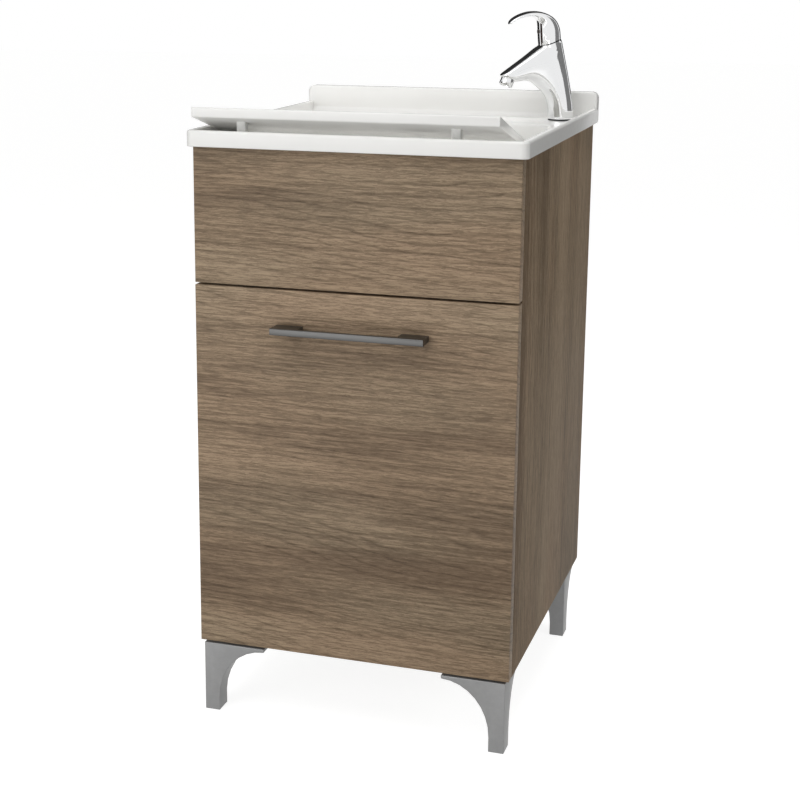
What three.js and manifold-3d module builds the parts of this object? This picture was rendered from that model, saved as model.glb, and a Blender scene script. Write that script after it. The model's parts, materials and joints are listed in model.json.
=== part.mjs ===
// Utility laundry sink: a wood-finish cabinet on four flared legs, a white sink top with a raised
// lip, a sloping washboard, a single-lever tap, and a door that tilts out with a laundry basket.
// Millimetres. +X is to the right, +Y is towards the wall and +Z is up.
import * as THREE from 'three';
import { mergeVertices } from 'three/addons/utils/BufferGeometryUtils.js';
import Module from 'manifold-3d';

const wasm = await Module();
wasm.setup();

// ---------------------------------------------------------------- driving dimensions

const fit = 0.3; // gap kept between two pieces that touch
const runningGap = 0.25; // gap round a pin that turns
const cutPast = 1; // how far a cutting shape reaches past what it cuts

// sides of a round piece, by its size
const fineRound = 32;
const midRound = 24;
const smallRound = 16;
const boltRound = 12;
const nutFlats = 12;

// cabinet
const cabinetWidth = 434;
const cabinetDepth = 490; // from the wall to the fronts' outer faces
const cabinetHeight = 684; // without the legs
const boardThickness = 16;
const frontThickness = 18;
const frontGap = 3; // between the fascia and the door
const doorHeight = 501;
const doorLift = 1.2; // door's lower edge above the cabinet's
const doorBackGap = 1.2; // between the door and the cabinet's front edges
const backThickness = 8;
const backInset = 2;
const pipeCutoutWidth = 200;
const pipeCutoutHeight = 190;
const pipeCutoutBottom = 400;
const railHeight = 60;
const lowerRailDrop = 15; // how far the lower rail reaches below the fascia
const rearRailHeight = 80;
const bottomPanelSetback = 17; // room for the door's hinge in front of the panel

// legs
const legHeight = 102;
const legFootWidth = 21;
const legFootDepth = 28;
const legReachWidth = 87;
const legReachDepth = 75;
const legStraight = 20;
const legFlange = 7;
const legSideInset = 4.6;
const legFrontInset = 1.2;
const legRearInset = 3;
const legDoorGap = 2.3; // front legs are lower under the door
const legCurveSteps = 8;

// screws
const screwRadius = 2;
const screwHeadRadius = 4;
const screwHeadHeight = 2.4;
const screwClearance = 0.35;
const legScrewLength = 14;
const legScrewFromSide = 62;
const legScrewFromFront = 46;

// sink top
const topOverhang = 8;
const rimHeight = 21.5;
const rimRounding = 3.5;
const lipWidth = 8;
const deckDrop = 15; // deck below the lip's top
const topCornerRadius = 10;
const upstandHeight = 24; // above the lip's top
const upstandThickness = 18;
const upstandCornerRadius = 9;
const bowlPanelGap = 13; // between the bowl's outside and a side panel
const bowlFrontMargin = 52;
const bowlRearMargin = 112;
const bowlDepth = 190;
const bowlCornerRadius = 62;
const bowlBottomRadius = 34;
const bowlMouthRounding = 5;
const bowlBendSteps = 5;
const bowlBendStart = 15; // degrees turned at the first step of the bottom's bend
const bowlDraft = 9;
const bowlFall = 3; // floor's fall towards the drain
const shellThickness = 5;
const drainFromWall = 200;

// waste and trap
const strainerRadius = 27;
const strainerFlangeRadius = 36;
const strainerFlangeHeight = 2.6;
const strainerWall = 2.5;
const strainerLength = 44;
const strainerBar = 4; // width and height of its cross bars
const wasteGasketThickness = 3;
const wasteGasketOverhang = 2;
const wasteNutHeight = 9;
const tailRadius = 16;
const tailWall = 2;
const tailLength = 70;
const tailFlangeWidth = 6;
const tailFlangeThickness = 3;
const tailNutWall = 4;
const tailNutGrip = 8;
const trapRadius = 31;
const trapHeight = 72;
const trapWall = 3;
const trapNeckWall = 5;
const trapNeckHeight = 8;
const trapShoulder = 4;
const trapOutletDrop = 22;
const trapSocketLength = 16;
const trapCupHeight = 44;
const trapCupCollar = 3;
const trapCupGrip = 8;
const trapCupSkirt = 12;
const trapCupBase = 8;
const trapCupRounding = 6;
const slipNutWall = 6;
const slipNutGrip = 7;
const slipNutRise = 4;
const outletSetback = 2; // pipe's end to the trap's wall
const rosetteRadius = 34;
const rosetteThickness = 6;
const rosetteBevel = 3;
const rosetteRim = 1;
const plugRadius = 23.5;
const plugHeight = 8;
const plugTaper = 1.5;
const plugDome = 1;
const plugKnobRadius = 7;
const plugKnobHeight = 16;
const plugNeckRadius = 4;

// washboard
const washboardLength = 405;
const washboardLipGap = 1;
const washboardFrontRise = 16.5; // underside of its front edge above the lip's top
const washboardEdge = 14;
const washboardReach = 140; // from its front edge to its rear edge
const washboardRestLength = 26; // flat part that lies on the deck
const washboardTail = 3.6; // thickness of its rear edge
const washboardFrontInset = 1.5;
const washboardRibs = 9;
const washboardRibHeight = 1.6;
const washboardPlainFront = 22;
const washboardPlainRear = 8;
const washboardFootWidth = 12;
const washboardFootDepth = 10;
const washboardFootFromFront = 22;
const washboardFootFromEnd = 60;

// door hinge
const hingePinFromFace = 7;
const hingePinRise = 4;
const hingePinRadius = 1.5;
const hingeEyeRadius = 3.2;
const hingeArmWidth = 7;
const hingeEarWidth = 2;
const hingeEarGap = 1;
const hingePocketMargin = 1;
const hingePocketHeight = 24;
const hingePocketDepthMargin = 0.5;
const hingeOffset = 8; // from the side panel to the arm
const hingeLeafHeight = 40;
const hingeLeafThickness = 2;
const hingeLeafOverlap = 5; // leaf's plate reaches down past the pocket's top
const hingeMovingGap = 1; // between the leaf and the bracket
const hingeBracketHeight = 64;
const hingeBracketDepth = 46;
const hingeBracketThickness = 4;
const hingeNeckDepth = 12;
const hingeBracketLift = 4; // above the bottom panel

// handle
const handleLength = 205;
const handleStandoff = 28;
const handleBarDepth = 7;
const handleBarHeight = 9;
const handleFootWidth = 36;
const handleFootHeight = 8;
const handleFromDoorTop = 50;
const handleRounding = 1.6;
const handleRoundingSteps = 3;
const handleScrewGrip = 12; // screw inside the foot

// laundry basket
const basketWidth = 344;
const basketTrapGap = 33; // between its rim and the trap
const basketTaper = 26; // sides and rear lean in by this at the bottom
const basketHeight = 350;
const basketBottom = 150;
const basketDoorGap = 13;
const basketWall = 3;
const basketRim = 8;
const basketRimThickness = 3;
const basketCornerRadius = 28;
const basketCornerSteps = 4;
const basketSlotColumns = 7;
const basketSlotRows = 2;
const basketSlotWidth = 9;
const basketSlotMargin = 46;
const basketHookWidth = 40;
const basketHookHeight = 30;
const basketHookThickness = 2;
const basketHookSpread = 220;
const basketHookGap = 1;

// catch and top brackets
const catchWidth = 46;
const catchHeight = 14;
const catchDepth = 14;
const catchGap = 0.9; // strike plate's thickness, before the two gaps beside it
const strikeWidth = 40;
const strikeHeight = 12;
const topBracketLeg = 24;
const topBracketWidth = 20;
const topBracketThickness = 2;
const topBracketFromWall = 92;

// tap, in the side view along its spout: out along the spout, up from the deck
const tapFromRight = 47;
const tapFromWall = 50;
const tapHeading = THREE.MathUtils.degToRad(218.5); // plan direction of the spout from +X
const tapBaseRadius = 20;
const tapNeckRadius = 17;
const tapHeadOut = 23.3;
const tapHeadHeight = 111.5;
const tapHeadTilt = THREE.MathUtils.degToRad(19.5);
const tapGasketThickness = 1.5;
const tapHoleRadius = 15;
const tapSeatRadius = 22.5; // hollow seat under the lever, about the lift pin
const tapLiftHeight = 14; // lift pin above the joint line
const cartridgeRadius = 11;
const cartridgeLength = 30;
const stemRadius = 3.4;
const stemEyeRadius = 4.6;
const stemEyeWidth = 8;
const liftPinRadius = 1.8;
const liftPinLength = 22;
const leverSlotGap = 0.5;
const indexCapRadius = 3.6;
const indexCapDepth = 3;
const aeratorRadius = 10;
const aeratorLength = 13;
const aeratorBore = 7.4;
const aeratorSink = 4; // part of its length inside the spout
const aeratorOut = 88;
const aeratorHeight = 58;
const aeratorTilt = THREE.MathUtils.degToRad(23.5);
const tapStudRadius = 3;
const tapStudLength = 62;
const tapStudBack = 8;
const tapGripDepth = 10; // stud and tails inside the body
const tapTailRadius = 4.6;
const tapTailLength = 74;
const tapTailOut = 5;
const tapTailSpread = 13;
const tapWasherRadius = 20;
const tapWasherThickness = 3;
const tapNutRadius = 6.5;
const tapNutHeight = 6;

// ---------------------------------------------------------------- levels and planes

const cabinetBase = legHeight;
const cabinetTop = cabinetBase + cabinetHeight;
const sideInner = cabinetWidth / 2 - boardThickness;
const doorFront = -cabinetDepth;
const doorBack = doorFront + frontThickness;
const carcassFront = doorBack + doorBackGap;
const doorBottom = cabinetBase + doorLift;
const doorTop = doorBottom + doorHeight;
const fasciaBottom = doorTop + frontGap;
const bottomPanelTop = cabinetBase + boardThickness;
const topBottom = cabinetTop + fit;
const rimTop = cabinetTop + rimHeight;
const deckTop = rimTop - deckDrop;
const topHalfWidth = cabinetWidth / 2 + topOverhang;
const bowlWidth = 2 * (sideInner - bowlPanelGap - shellThickness);
const topFront = -(cabinetDepth + topOverhang);
const bowlFront = topFront + bowlFrontMargin;
const bowlRear = -bowlRearMargin;
const drainY = -drainFromWall;
const bowlFloor = deckTop - bowlDepth - bowlFall;
const bowlUnderside = bowlFloor - shellThickness;
const wasteTop = bowlUnderside - strainerFlangeHeight; // underside of the bowl round the drain
const trapNeckRadius = tailRadius + trapNeckWall;
const trapCupRadius = trapRadius + trapCupCollar;
const basketFront = doorBack + basketDoorGap;
const basketTopDepth = drainY - trapCupRadius - basketTrapGap - basketRim - basketFront;

// ---------------------------------------------------------------- materials

const finish = (color, roughness, metalness = 0) =>
  new THREE.MeshStandardMaterial({ color, roughness, metalness });
const wood = finish(0x8c7a66, 0.62);
const innerBoard = finish(0xd9d4cb, 0.7);
const white = finish(0xf1f1ee, 0.18);
const legMetal = finish(0xa9abad, 0.38, 0.75);
const handleMetal = finish(0x8d8f92, 0.3, 0.9);
const chrome = finish(0xd9dbdd, 0.08, 1);
const steel = finish(0xb4b7ba, 0.35, 0.9);
const plastic = finish(0xe6e6e2, 0.4);
const rubber = finish(0x2b2b2c, 0.8);
const basketPlastic = finish(0xe9e7e0, 0.45);

// ---------------------------------------------------------------- geometry helpers

const upTheZAxis = new THREE.Matrix4().makeRotationX(Math.PI / 2);

// Merges shared corners, drops slivers at poles and turns the faces outwards.
function closed(geometry) {
  const bare = new THREE.BufferGeometry();
  bare.setAttribute('position', geometry.getAttribute('position').clone());
  if (geometry.index) bare.setIndex(geometry.index.clone());
  const merged = mergeVertices(bare, 1e-4);
  const position = merged.getAttribute('position');
  const corners = [...merged.index.array];
  const kept = [];
  const a = new THREE.Vector3();
  const b = new THREE.Vector3();
  const c = new THREE.Vector3();
  let volume = 0;
  for (let i = 0; i < corners.length; i += 3) {
    const [p, q, r] = corners.slice(i, i + 3);
    if (p === q || q === r || r === p) continue;
    kept.push(p, q, r);
    a.fromBufferAttribute(position, p);
    b.fromBufferAttribute(position, q);
    c.fromBufferAttribute(position, r);
    volume += a.dot(b.cross(c));
  }
  if (volume < 0) kept.reverse();
  merged.setIndex(kept);
  return merged;
}

function toManifold(geometry) {
  const body = closed(geometry);
  const vertProperties = new Float32Array(body.getAttribute('position').array);
  const triVerts = new Uint32Array(body.index.array);
  return new wasm.Manifold(new wasm.Mesh({ numProp: 3, vertProperties, triVerts }));
}

function fromManifold(solid) {
  const mesh = solid.getMesh();
  const geometry = new THREE.BufferGeometry();
  geometry.setAttribute('position', new THREE.BufferAttribute(mesh.vertProperties, 3));
  geometry.setIndex([...mesh.triVerts]);
  return geometry;
}

function joined(...geometries) {
  const [first, ...others] = geometries.map(toManifold);
  return fromManifold(others.reduce((whole, other) => whole.add(other), first));
}

function cut(geometry, ...tools) {
  return fromManifold(tools.map(toManifold).reduce((rest, tool) => rest.subtract(tool), toManifold(geometry)));
}

function common(first, second) {
  return fromManifold(toManifold(first).intersect(toManifold(second)));
}

function box([x0, x1], [y0, y1], [z0, z1]) {
  const geometry = new THREE.BoxGeometry(x1 - x0, y1 - y0, z1 - z0);
  return geometry.translate((x0 + x1) / 2, (y0 + y1) / 2, (z0 + z1) / 2);
}

const spanAbout = (middle, length) => [middle - length / 2, middle + length / 2];

// Cylinder along +Z from z = from to z = to.
function rod(radius, from, to, segments = midRound) {
  const geometry = new THREE.CylinderGeometry(radius, radius, to - from, segments);
  return geometry.applyMatrix4(upTheZAxis).translate(0, 0, (from + to) / 2);
}

// Profile of [radius, height] points turned about +Z.
function turned(profile, segments = fineRound) {
  const points = profile.map(([radius, height]) => new THREE.Vector2(radius, height));
  return new THREE.LatheGeometry(points, segments).applyMatrix4(upTheZAxis);
}

// Tube about +Z: the closed profile of a plain ring.
function ring(inner, outer, from, to, segments = fineRound) {
  return turned([[inner, from], [outer, from], [outer, to], [inner, to], [inner, from]], segments);
}

// Nut with flat sides and a round bore.
function nut(inner, outer, from, to, flats = nutFlats) {
  return cut(rod(outer, from, to, flats), rod(inner, from - cutPast, to + cutPast, fineRound));
}

// Outline in the plane across an axis, drawn as (y, z) for x, (x, z) for y and (x, y) for z.
function prism(outline, axis, from, to) {
  const shape = new THREE.Shape(outline.map(([p, q]) => new THREE.Vector2(p, q)));
  const geometry = new THREE.ExtrudeGeometry(shape, { depth: to - from, bevelEnabled: false });
  geometry.translate(0, 0, from);
  const turn = new THREE.Matrix4();
  if (axis === 'x') turn.set(0, 0, 1, 0, 1, 0, 0, 0, 0, 1, 0, 0, 0, 0, 0, 1);
  if (axis === 'y') turn.set(1, 0, 0, 0, 0, 0, 1, 0, 0, 1, 0, 0, 0, 0, 0, 1);
  return closed(geometry.applyMatrix4(turn));
}

function mirroredX(geometry) {
  return closed(geometry.clone().applyMatrix4(new THREE.Matrix4().makeScale(-1, 1, 1)));
}

function arc(centre, radius, from, to, steps) {
  return Array.from({ length: steps + 1 }, (_, i) => {
    const angle = THREE.MathUtils.degToRad(from + ((to - from) * i) / steps);
    return [centre[0] + radius * Math.cos(angle), centre[1] + radius * Math.sin(angle)];
  });
}

function roundedRectangle([x0, x1], [y0, y1], radius, steps = 6) {
  return [
    ...arc([x1 - radius, y0 + radius], radius, -90, 0, steps),
    ...arc([x1 - radius, y1 - radius], radius, 0, 90, steps),
    ...arc([x0 + radius, y1 - radius], radius, 90, 180, steps),
    ...arc([x0 + radius, y0 + radius], radius, 180, 270, steps),
  ];
}

// Closed skin over a row of rings that have the same number of points.
function loft(rings) {
  const count = rings[0].length;
  const positions = rings.flat().flatMap((point) => [point.x, point.y, point.z]);
  const index = [];
  for (let k = 0; k + 1 < rings.length; k += 1) {
    for (let i = 0; i < count; i += 1) {
      const j = (i + 1) % count;
      const low = k * count;
      const high = low + count;
      index.push(low + i, low + j, high + j, low + i, high + j, high + i);
    }
  }
  [0, rings.length - 1].forEach((k) => {
    const middle = positions.length / 3;
    const centre = rings[k].reduce((sum, point) => sum.add(point), new THREE.Vector3()).divideScalar(count);
    positions.push(centre.x, centre.y, centre.z);
    for (let i = 0; i < count; i += 1) {
      const j = (i + 1) % count;
      const pair = k === 0 ? [j, i] : [i, j];
      index.push(middle, k * count + pair[0], k * count + pair[1]);
    }
  });
  const geometry = new THREE.BufferGeometry();
  geometry.setAttribute('position', new THREE.Float32BufferAttribute(positions, 3));
  geometry.setIndex(index);
  return closed(geometry);
}

const level = (outline, z) => outline.map(([x, y]) => new THREE.Vector3(x, y, z));

const model = new THREE.Group();

function add(name, geometry, material, parent = model) {
  const mesh = new THREE.Mesh(closed(geometry), material);
  mesh.name = name;
  parent.add(mesh);
  return mesh;
}

const sides = [['left', -1], ['right', 1]];
const onSide = (geometry, side) => (side < 0 ? mirroredX(geometry) : geometry);

// Screw along +Z: flat head below z = 0, shank above.
function screw(length) {
  return joined(
    rod(screwHeadRadius, -screwHeadHeight, 0, smallRound),
    rod(screwRadius, -screwHeadHeight / 2, length, boltRound),
  );
}

// ---------------------------------------------------------------- cabinet

const legSpots = [
  ['front_left', -1, doorFront + legFrontInset, legDoorGap],
  ['front_right', 1, doorFront + legFrontInset, legDoorGap],
  ['rear_left', -1, -legRearInset - legReachDepth, 0],
  ['rear_right', 1, -legRearInset - legReachDepth, 0],
];
const legOuter = cabinetWidth / 2 - legSideInset;
const legTop = legHeight - fit;

const legScrewPlace = (side, y) => [side * (legOuter - legScrewFromSide), y + legScrewFromFront];

function legProfile(foot, reach) {
  const flareHeight = legTop - legFlange - legStraight;
  const flare = arc([0, 0], 1, 180, 90, legCurveSteps).map(([across, up]) =>
    [reach + (reach - foot) * across, legStraight + flareHeight * up]);
  return [[0, 0], [foot, 0], ...flare, [reach, legTop], [0, legTop]];
}

function legGeometry(side, y, doorGap) {
  const across = prism(legProfile(legFootWidth, legReachWidth), 'y', 0, legReachDepth);
  const along = prism(legProfile(legFootDepth, legReachDepth), 'x', 0, legReachWidth);
  const holes = [
    rod(screwHeadRadius + screwClearance, 0, legTop - legFlange / 2, smallRound),
    rod(screwRadius + screwClearance, 0, legHeight, boltRound),
  ].map((hole) => hole.translate(legScrewFromSide, legScrewFromFront, 0));
  const body = cut(common(across, along), ...holes);
  const doorRoom = box(
    [-cutPast, legReachWidth + cutPast],
    [-cutPast, bottomPanelFront - doorFront - legFrontInset - legDoorGap],
    [legTop - doorGap, legHeight],
  );
  const shaped = doorGap > 0 ? cut(body, doorRoom) : body;
  const placed = shaped.translate(-legOuter, y, 0);
  return side > 0 ? mirroredX(placed) : placed;
}

const bottomPanelFront = doorBack + bottomPanelSetback;
const backPanelFront = -(backInset + backThickness);

function addCabinet() {
  sides.forEach(([word, side]) => {
    const panel = box([sideInner, cabinetWidth / 2], [carcassFront, 0], [cabinetBase, cabinetTop]);
    add(`side_panel_${word}`, onSide(panel, side), wood);
  });
  const inside = [-sideInner + fit, sideInner - fit];
  const screwHoles = legSpots.map(([, side, y]) =>
    rod(screwRadius + screwClearance, cabinetBase - cutPast, cabinetBase + legScrewLength, boltRound)
      .translate(...legScrewPlace(side, y), 0));
  const bottom = box(inside, [bottomPanelFront, backPanelFront - fit], [cabinetBase, bottomPanelTop]);
  add('bottom_panel', cut(bottom, ...screwHoles), innerBoard);
  const back = box(inside, [backPanelFront, -backInset], [cabinetBase, cabinetTop]);
  const pipeCutout = box(
    spanAbout(0, pipeCutoutWidth),
    [backPanelFront - cutPast, 0],
    [pipeCutoutBottom, pipeCutoutBottom + pipeCutoutHeight],
  );
  add('back_panel', cut(back, pipeCutout), innerBoard);
  const railSpan = [carcassFront, carcassFront + boardThickness];
  add('front_rail_upper', box(inside, railSpan, [cabinetTop - railHeight, cabinetTop]), innerBoard);
  add('front_rail_lower', box(inside, railSpan, [lowerRailBottom, lowerRailBottom + railHeight]), innerBoard);
  add('rear_rail', box(
    inside,
    [backPanelFront - fit - boardThickness, backPanelFront - fit],
    [cabinetTop - rearRailHeight, cabinetTop],
  ), innerBoard);
  add('front_fascia', box(
    [-cabinetWidth / 2, cabinetWidth / 2],
    [doorFront, carcassFront - fit],
    [fasciaBottom, cabinetTop],
  ), wood);
}

const lowerRailBottom = fasciaBottom - lowerRailDrop;

function addLegs() {
  legSpots.forEach(([word, side, y, doorGap]) => {
    add(`leg_${word}`, legGeometry(side, y, doorGap), legMetal);
    const bolt = screw(legScrewLength + legFlange / 2 - cutPast);
    add(`leg_screw_${word}`, bolt.translate(...legScrewPlace(side, y), legTop - legFlange / 2 - fit), steel);
  });
}

// ---------------------------------------------------------------- sink top

// Rings of the bowl: inset and depth of each level, from above the deck to the floor.
function bowlRings(wall) {
  const mouth = wall > 0 ? [] : arc([0, 0], bowlMouthRounding, 180, 270, 3).map(([across, down]) =>
    [across, bowlMouthRounding + down]);
  const wallTop = wall > 0 ? deckTop - topBottom - fit : bowlMouthRounding;
  const bend = bowlDepth - bowlBottomRadius;
  const levels = [
    ...mouth.map(([inset, depth]) => [inset, depth]),
    [0, wallTop],
    [bowlDraft, bend],
    ...arc([bowlDraft + bowlBottomRadius, bend], bowlBottomRadius, 180 - bowlBendStart, 90, bowlBendSteps),
  ];
  const rings = levels.map(([inset, depth]) => level(
    roundedRectangle(
      [-bowlWidth / 2 + inset - wall, bowlWidth / 2 - inset + wall],
      [bowlFront + inset - wall, bowlRear - inset + wall],
      Math.max(bowlCornerRadius - inset + wall, strainerFlangeRadius / 2),
    ),
    deckTop - depth - (depth > bend ? (wall * (depth - bend)) / bowlBottomRadius : 0),
  ));
  const drain = strainerFlangeRadius + 2 * fit;
  const floor = level(roundedRectangle([-drain, drain], [drainY - drain, drainY + drain], drain * 0.99), bowlFloor - wall);
  if (wall > 0) return [...rings, floor];
  const above = rings[0].map((point) => point.clone().setZ(rimTop));
  return [above, ...rings, floor];
}

function sinkTopGeometry() {
  const outline = (inset) => roundedRectangle(
    [-topHalfWidth + inset, topHalfWidth - inset],
    [topFront + inset, -inset],
    topCornerRadius - inset,
    4,
  );
  const edge = arc([0, 0], rimRounding, 0, 90, 3).map(([across, up]) =>
    level(outline(rimRounding - across), rimTop - rimRounding + up));
  const slab = loft([level(outline(0), topBottom), ...edge]);
  const recess = loft([deckTop, rimTop + cutPast].map((z) => level(
    roundedRectangle(
      [-topHalfWidth + lipWidth, topHalfWidth - lipWidth],
      [topFront + lipWidth, -upstandThickness],
      topCornerRadius - lipWidth / 2,
      3,
    ),
    z,
  )));
  const upstandTop = rimTop + upstandHeight;
  const upstandOutline = [
    [topHalfWidth, deckTop],
    ...arc([topHalfWidth - upstandCornerRadius, upstandTop - upstandCornerRadius], upstandCornerRadius, 0, 90, 5),
    ...arc([-topHalfWidth + upstandCornerRadius, upstandTop - upstandCornerRadius], upstandCornerRadius, 90, 180, 5),
    [-topHalfWidth, deckTop],
  ];
  const upstand = prism(upstandOutline, 'y', -upstandThickness, 0);
  const flange = strainerFlangeRadius + fit;
  const atDrain = (radius, from, to) => rod(radius, from, to, fineRound).translate(0, drainY, 0);
  const flangeSeat = atDrain(flange, bowlFloor - strainerFlangeHeight, bowlFloor + cutPast);
  const drainHole = atDrain(strainerRadius + 2 * fit, wasteTop - cutPast, bowlFloor + cutPast);
  const boss = atDrain(flange + shellThickness, wasteTop, bowlFloor - cutPast);
  const tapHole = rod(tapHoleRadius, topBottom - cutPast, rimTop).translate(tapX, tapY, 0);
  const body = joined(cut(slab, recess), upstand, loft(bowlRings(shellThickness)), boss);
  return cut(body, loft(bowlRings(0)), flangeSeat, drainHole, tapHole);
}

const tapX = topHalfWidth - tapFromRight;
const tapY = -tapFromWall;

function topBracketGeometry(side) {
  const span = spanAbout(-topBracketFromWall, topBracketWidth);
  const legUp = box(
    [sideInner - fit - topBracketThickness, sideInner - fit],
    span,
    [topBottom - fit - topBracketLeg, topBottom - fit],
  );
  const legAcross = box(
    [sideInner - fit - topBracketLeg, sideInner - fit],
    span,
    [topBottom - fit - topBracketThickness, topBottom - fit],
  );
  return onSide(joined(legUp, legAcross), side);
}

function addSinkTop() {
  add('sink_top', sinkTopGeometry(), white);
  sides.forEach(([word, side]) => {
    add(`top_bracket_${word}`, topBracketGeometry(side), steel);
  });
}

// ---------------------------------------------------------------- waste and trap

function addWaste() {
  const drain = new THREE.Group();
  drain.position.set(0, drainY, 0);
  model.add(drain);
  const outer = strainerRadius;
  const inner = strainerRadius - strainerWall;
  const seat = bowlFloor - strainerFlangeHeight + fit;
  const bottom = wasteTop - strainerLength;
  const spigot = tailRadius - tailWall;
  const cup = turned([
    [inner, seat + strainerFlangeHeight - fit],
    [inner, bottom + strainerWall],
    [spigot, bottom + strainerWall],
    [spigot, bottom],
    [outer, bottom],
    [outer, seat],
    [strainerFlangeRadius, seat],
    [strainerFlangeRadius, seat + (strainerFlangeHeight - fit) / 2],
    [inner + strainerWall, seat + strainerFlangeHeight - fit],
    [inner, seat + strainerFlangeHeight - fit],
  ]);
  const plugSeat = bowlFloor - plugHeight;
  const barReach = inner + strainerWall / 2;
  const bars = [0, Math.PI / 2].map((turn) => box(
    [-barReach, barReach],
    spanAbout(0, strainerBar),
    [plugSeat - fit - strainerBar, plugSeat - fit],
  ).rotateZ(turn));
  add('strainer', joined(cup, ...bars), steel, drain);
  const gasketTop = wasteTop - fit;
  const nutTop = gasketTop - wasteGasketThickness - fit;
  const gasketRadius = strainerFlangeRadius + wasteGasketOverhang;
  add('waste_gasket', ring(outer + fit, gasketRadius, gasketTop - wasteGasketThickness, gasketTop), rubber, drain);
  add('waste_nut', nut(outer + fit, strainerFlangeRadius, nutTop - wasteNutHeight, nutTop), plastic, drain);

  const tailTop = bottom - fit;
  const tailBottom = tailTop - tailLength;
  const flangeBottom = tailTop - tailFlangeThickness;
  add('tail_pipe', turned([
    [spigot, tailTop],
    [spigot, tailBottom],
    [tailRadius, tailBottom],
    [tailRadius, flangeBottom],
    [tailRadius + tailFlangeWidth, flangeBottom],
    [tailRadius + tailFlangeWidth, tailTop],
    [spigot, tailTop],
  ], midRound), plastic, drain);
  const tailNutBottom = flangeBottom - fit - tailNutWall;
  add('tail_nut', turned([
    [tailRadius + fit, flangeBottom - fit],
    [tailRadius + fit, tailNutBottom],
    [outer + tailNutWall, tailNutBottom],
    [outer + tailNutWall, bottom + tailNutGrip],
    [outer + fit, bottom + tailNutGrip],
    [outer + fit, flangeBottom - fit],
    [tailRadius + fit, flangeBottom - fit],
  ]), plastic, drain);

  const trapTop = tailTop - tailLength / 2;
  const trapBottom = trapTop - trapHeight;
  const shoulderTop = trapTop - trapNeckHeight - trapShoulder;
  const trapInner = trapRadius - trapWall;
  const shell = turned([
    [tailRadius + fit, trapTop],
    [tailRadius + fit, shoulderTop],
    [trapInner, shoulderTop - trapWall],
    [trapInner, trapBottom],
    [trapRadius, trapBottom],
    [trapRadius, shoulderTop],
    [trapNeckRadius, trapTop - trapNeckHeight],
    [trapNeckRadius, trapTop],
    [tailRadius + fit, trapTop],
  ]);
  const outletZ = trapTop - trapOutletDrop - tailRadius;
  const outletLength = trapRadius + trapSocketLength;
  const towardsWall = (geometry) => geometry.rotateX(-Math.PI / 2).translate(0, 0, outletZ);
  const socket = towardsWall(rod(trapNeckRadius, 0, outletLength));
  const socketBore = towardsWall(rod(tailRadius + fit, 0, outletLength + cutPast));
  const core = rod(trapInner, trapBottom - cutPast, shoulderTop - trapWall, fineRound);
  add('trap_body', cut(joined(shell, cut(socket, core)), socketBore), chrome, drain);
  const slipNut = (end) =>
    nut(trapNeckRadius + fit, trapNeckRadius + slipNutWall, end - slipNutGrip, end + slipNutRise);
  add('trap_nut', slipNut(trapTop), chrome, drain);
  const cupTop = trapBottom - fit;
  const cupBottom = cupTop - trapCupHeight;
  add('trap_cup', turned([
    [0, cupBottom],
    [trapInner - trapCupRounding, cupBottom],
    [trapInner, cupBottom + trapCupRounding],
    [trapCupRadius, cupTop - trapCupSkirt],
    [trapCupRadius, cupTop + trapCupGrip],
    [trapRadius + fit, cupTop + trapCupGrip],
    [trapRadius + fit, cupTop],
    [trapInner, cupTop],
    [trapInner - trapWall, cupBottom + trapCupBase + trapWall],
    [0, cupBottom + trapCupBase],
  ]), chrome, drain);

  const outletStart = trapRadius + outletSetback;
  const outletEnd = drainFromWall - cutPast;
  add('outlet_pipe', towardsWall(ring(spigot, tailRadius, outletStart, outletEnd, midRound)), chrome, drain);
  add('outlet_nut', towardsWall(slipNut(outletLength)), chrome, drain);
  const rosetteFront = drainFromWall - rosetteThickness;
  add('wall_rosette', towardsWall(turned([
    [tailRadius + fit, rosetteFront],
    [tailRadius + fit, drainFromWall],
    [rosetteRadius, drainFromWall],
    [rosetteRadius - rosetteBevel, rosetteFront + rosetteRim],
    [tailRadius + fit, rosetteFront],
  ])), chrome, drain);

  const plugTop = plugSeat + plugHeight;
  add('plug', turned([
    [0, plugSeat],
    [plugRadius - plugTaper, plugSeat],
    [plugRadius, plugTop],
    [plugNeckRadius, plugTop + plugDome],
    [plugNeckRadius, plugTop + plugKnobHeight / 2],
    [plugKnobRadius, plugTop + (plugKnobHeight * 3) / 4],
    [plugKnobRadius - plugTaper, plugTop + plugKnobHeight],
    [0, plugTop + plugKnobHeight],
  ], midRound), rubber, drain);
}

// ---------------------------------------------------------------- washboard

const washboardFront = topFront + washboardFrontInset;
const washboardRest = deckTop + fit;
const washboardUnder = rimTop + washboardFrontRise;
const washboardTop = washboardUnder + washboardEdge;
const washboardRear = washboardFront + washboardReach;
const washboardSpan = [-topHalfWidth + lipWidth + washboardLipGap, -topHalfWidth + lipWidth + washboardLipGap + washboardLength];

// Height of the sloping underside at a distance behind the front edge.
function undersideAt(distance) {
  const slope = (washboardUnder - washboardRest) / (washboardReach - washboardRestLength);
  return washboardUnder - slope * distance;
}

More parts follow.
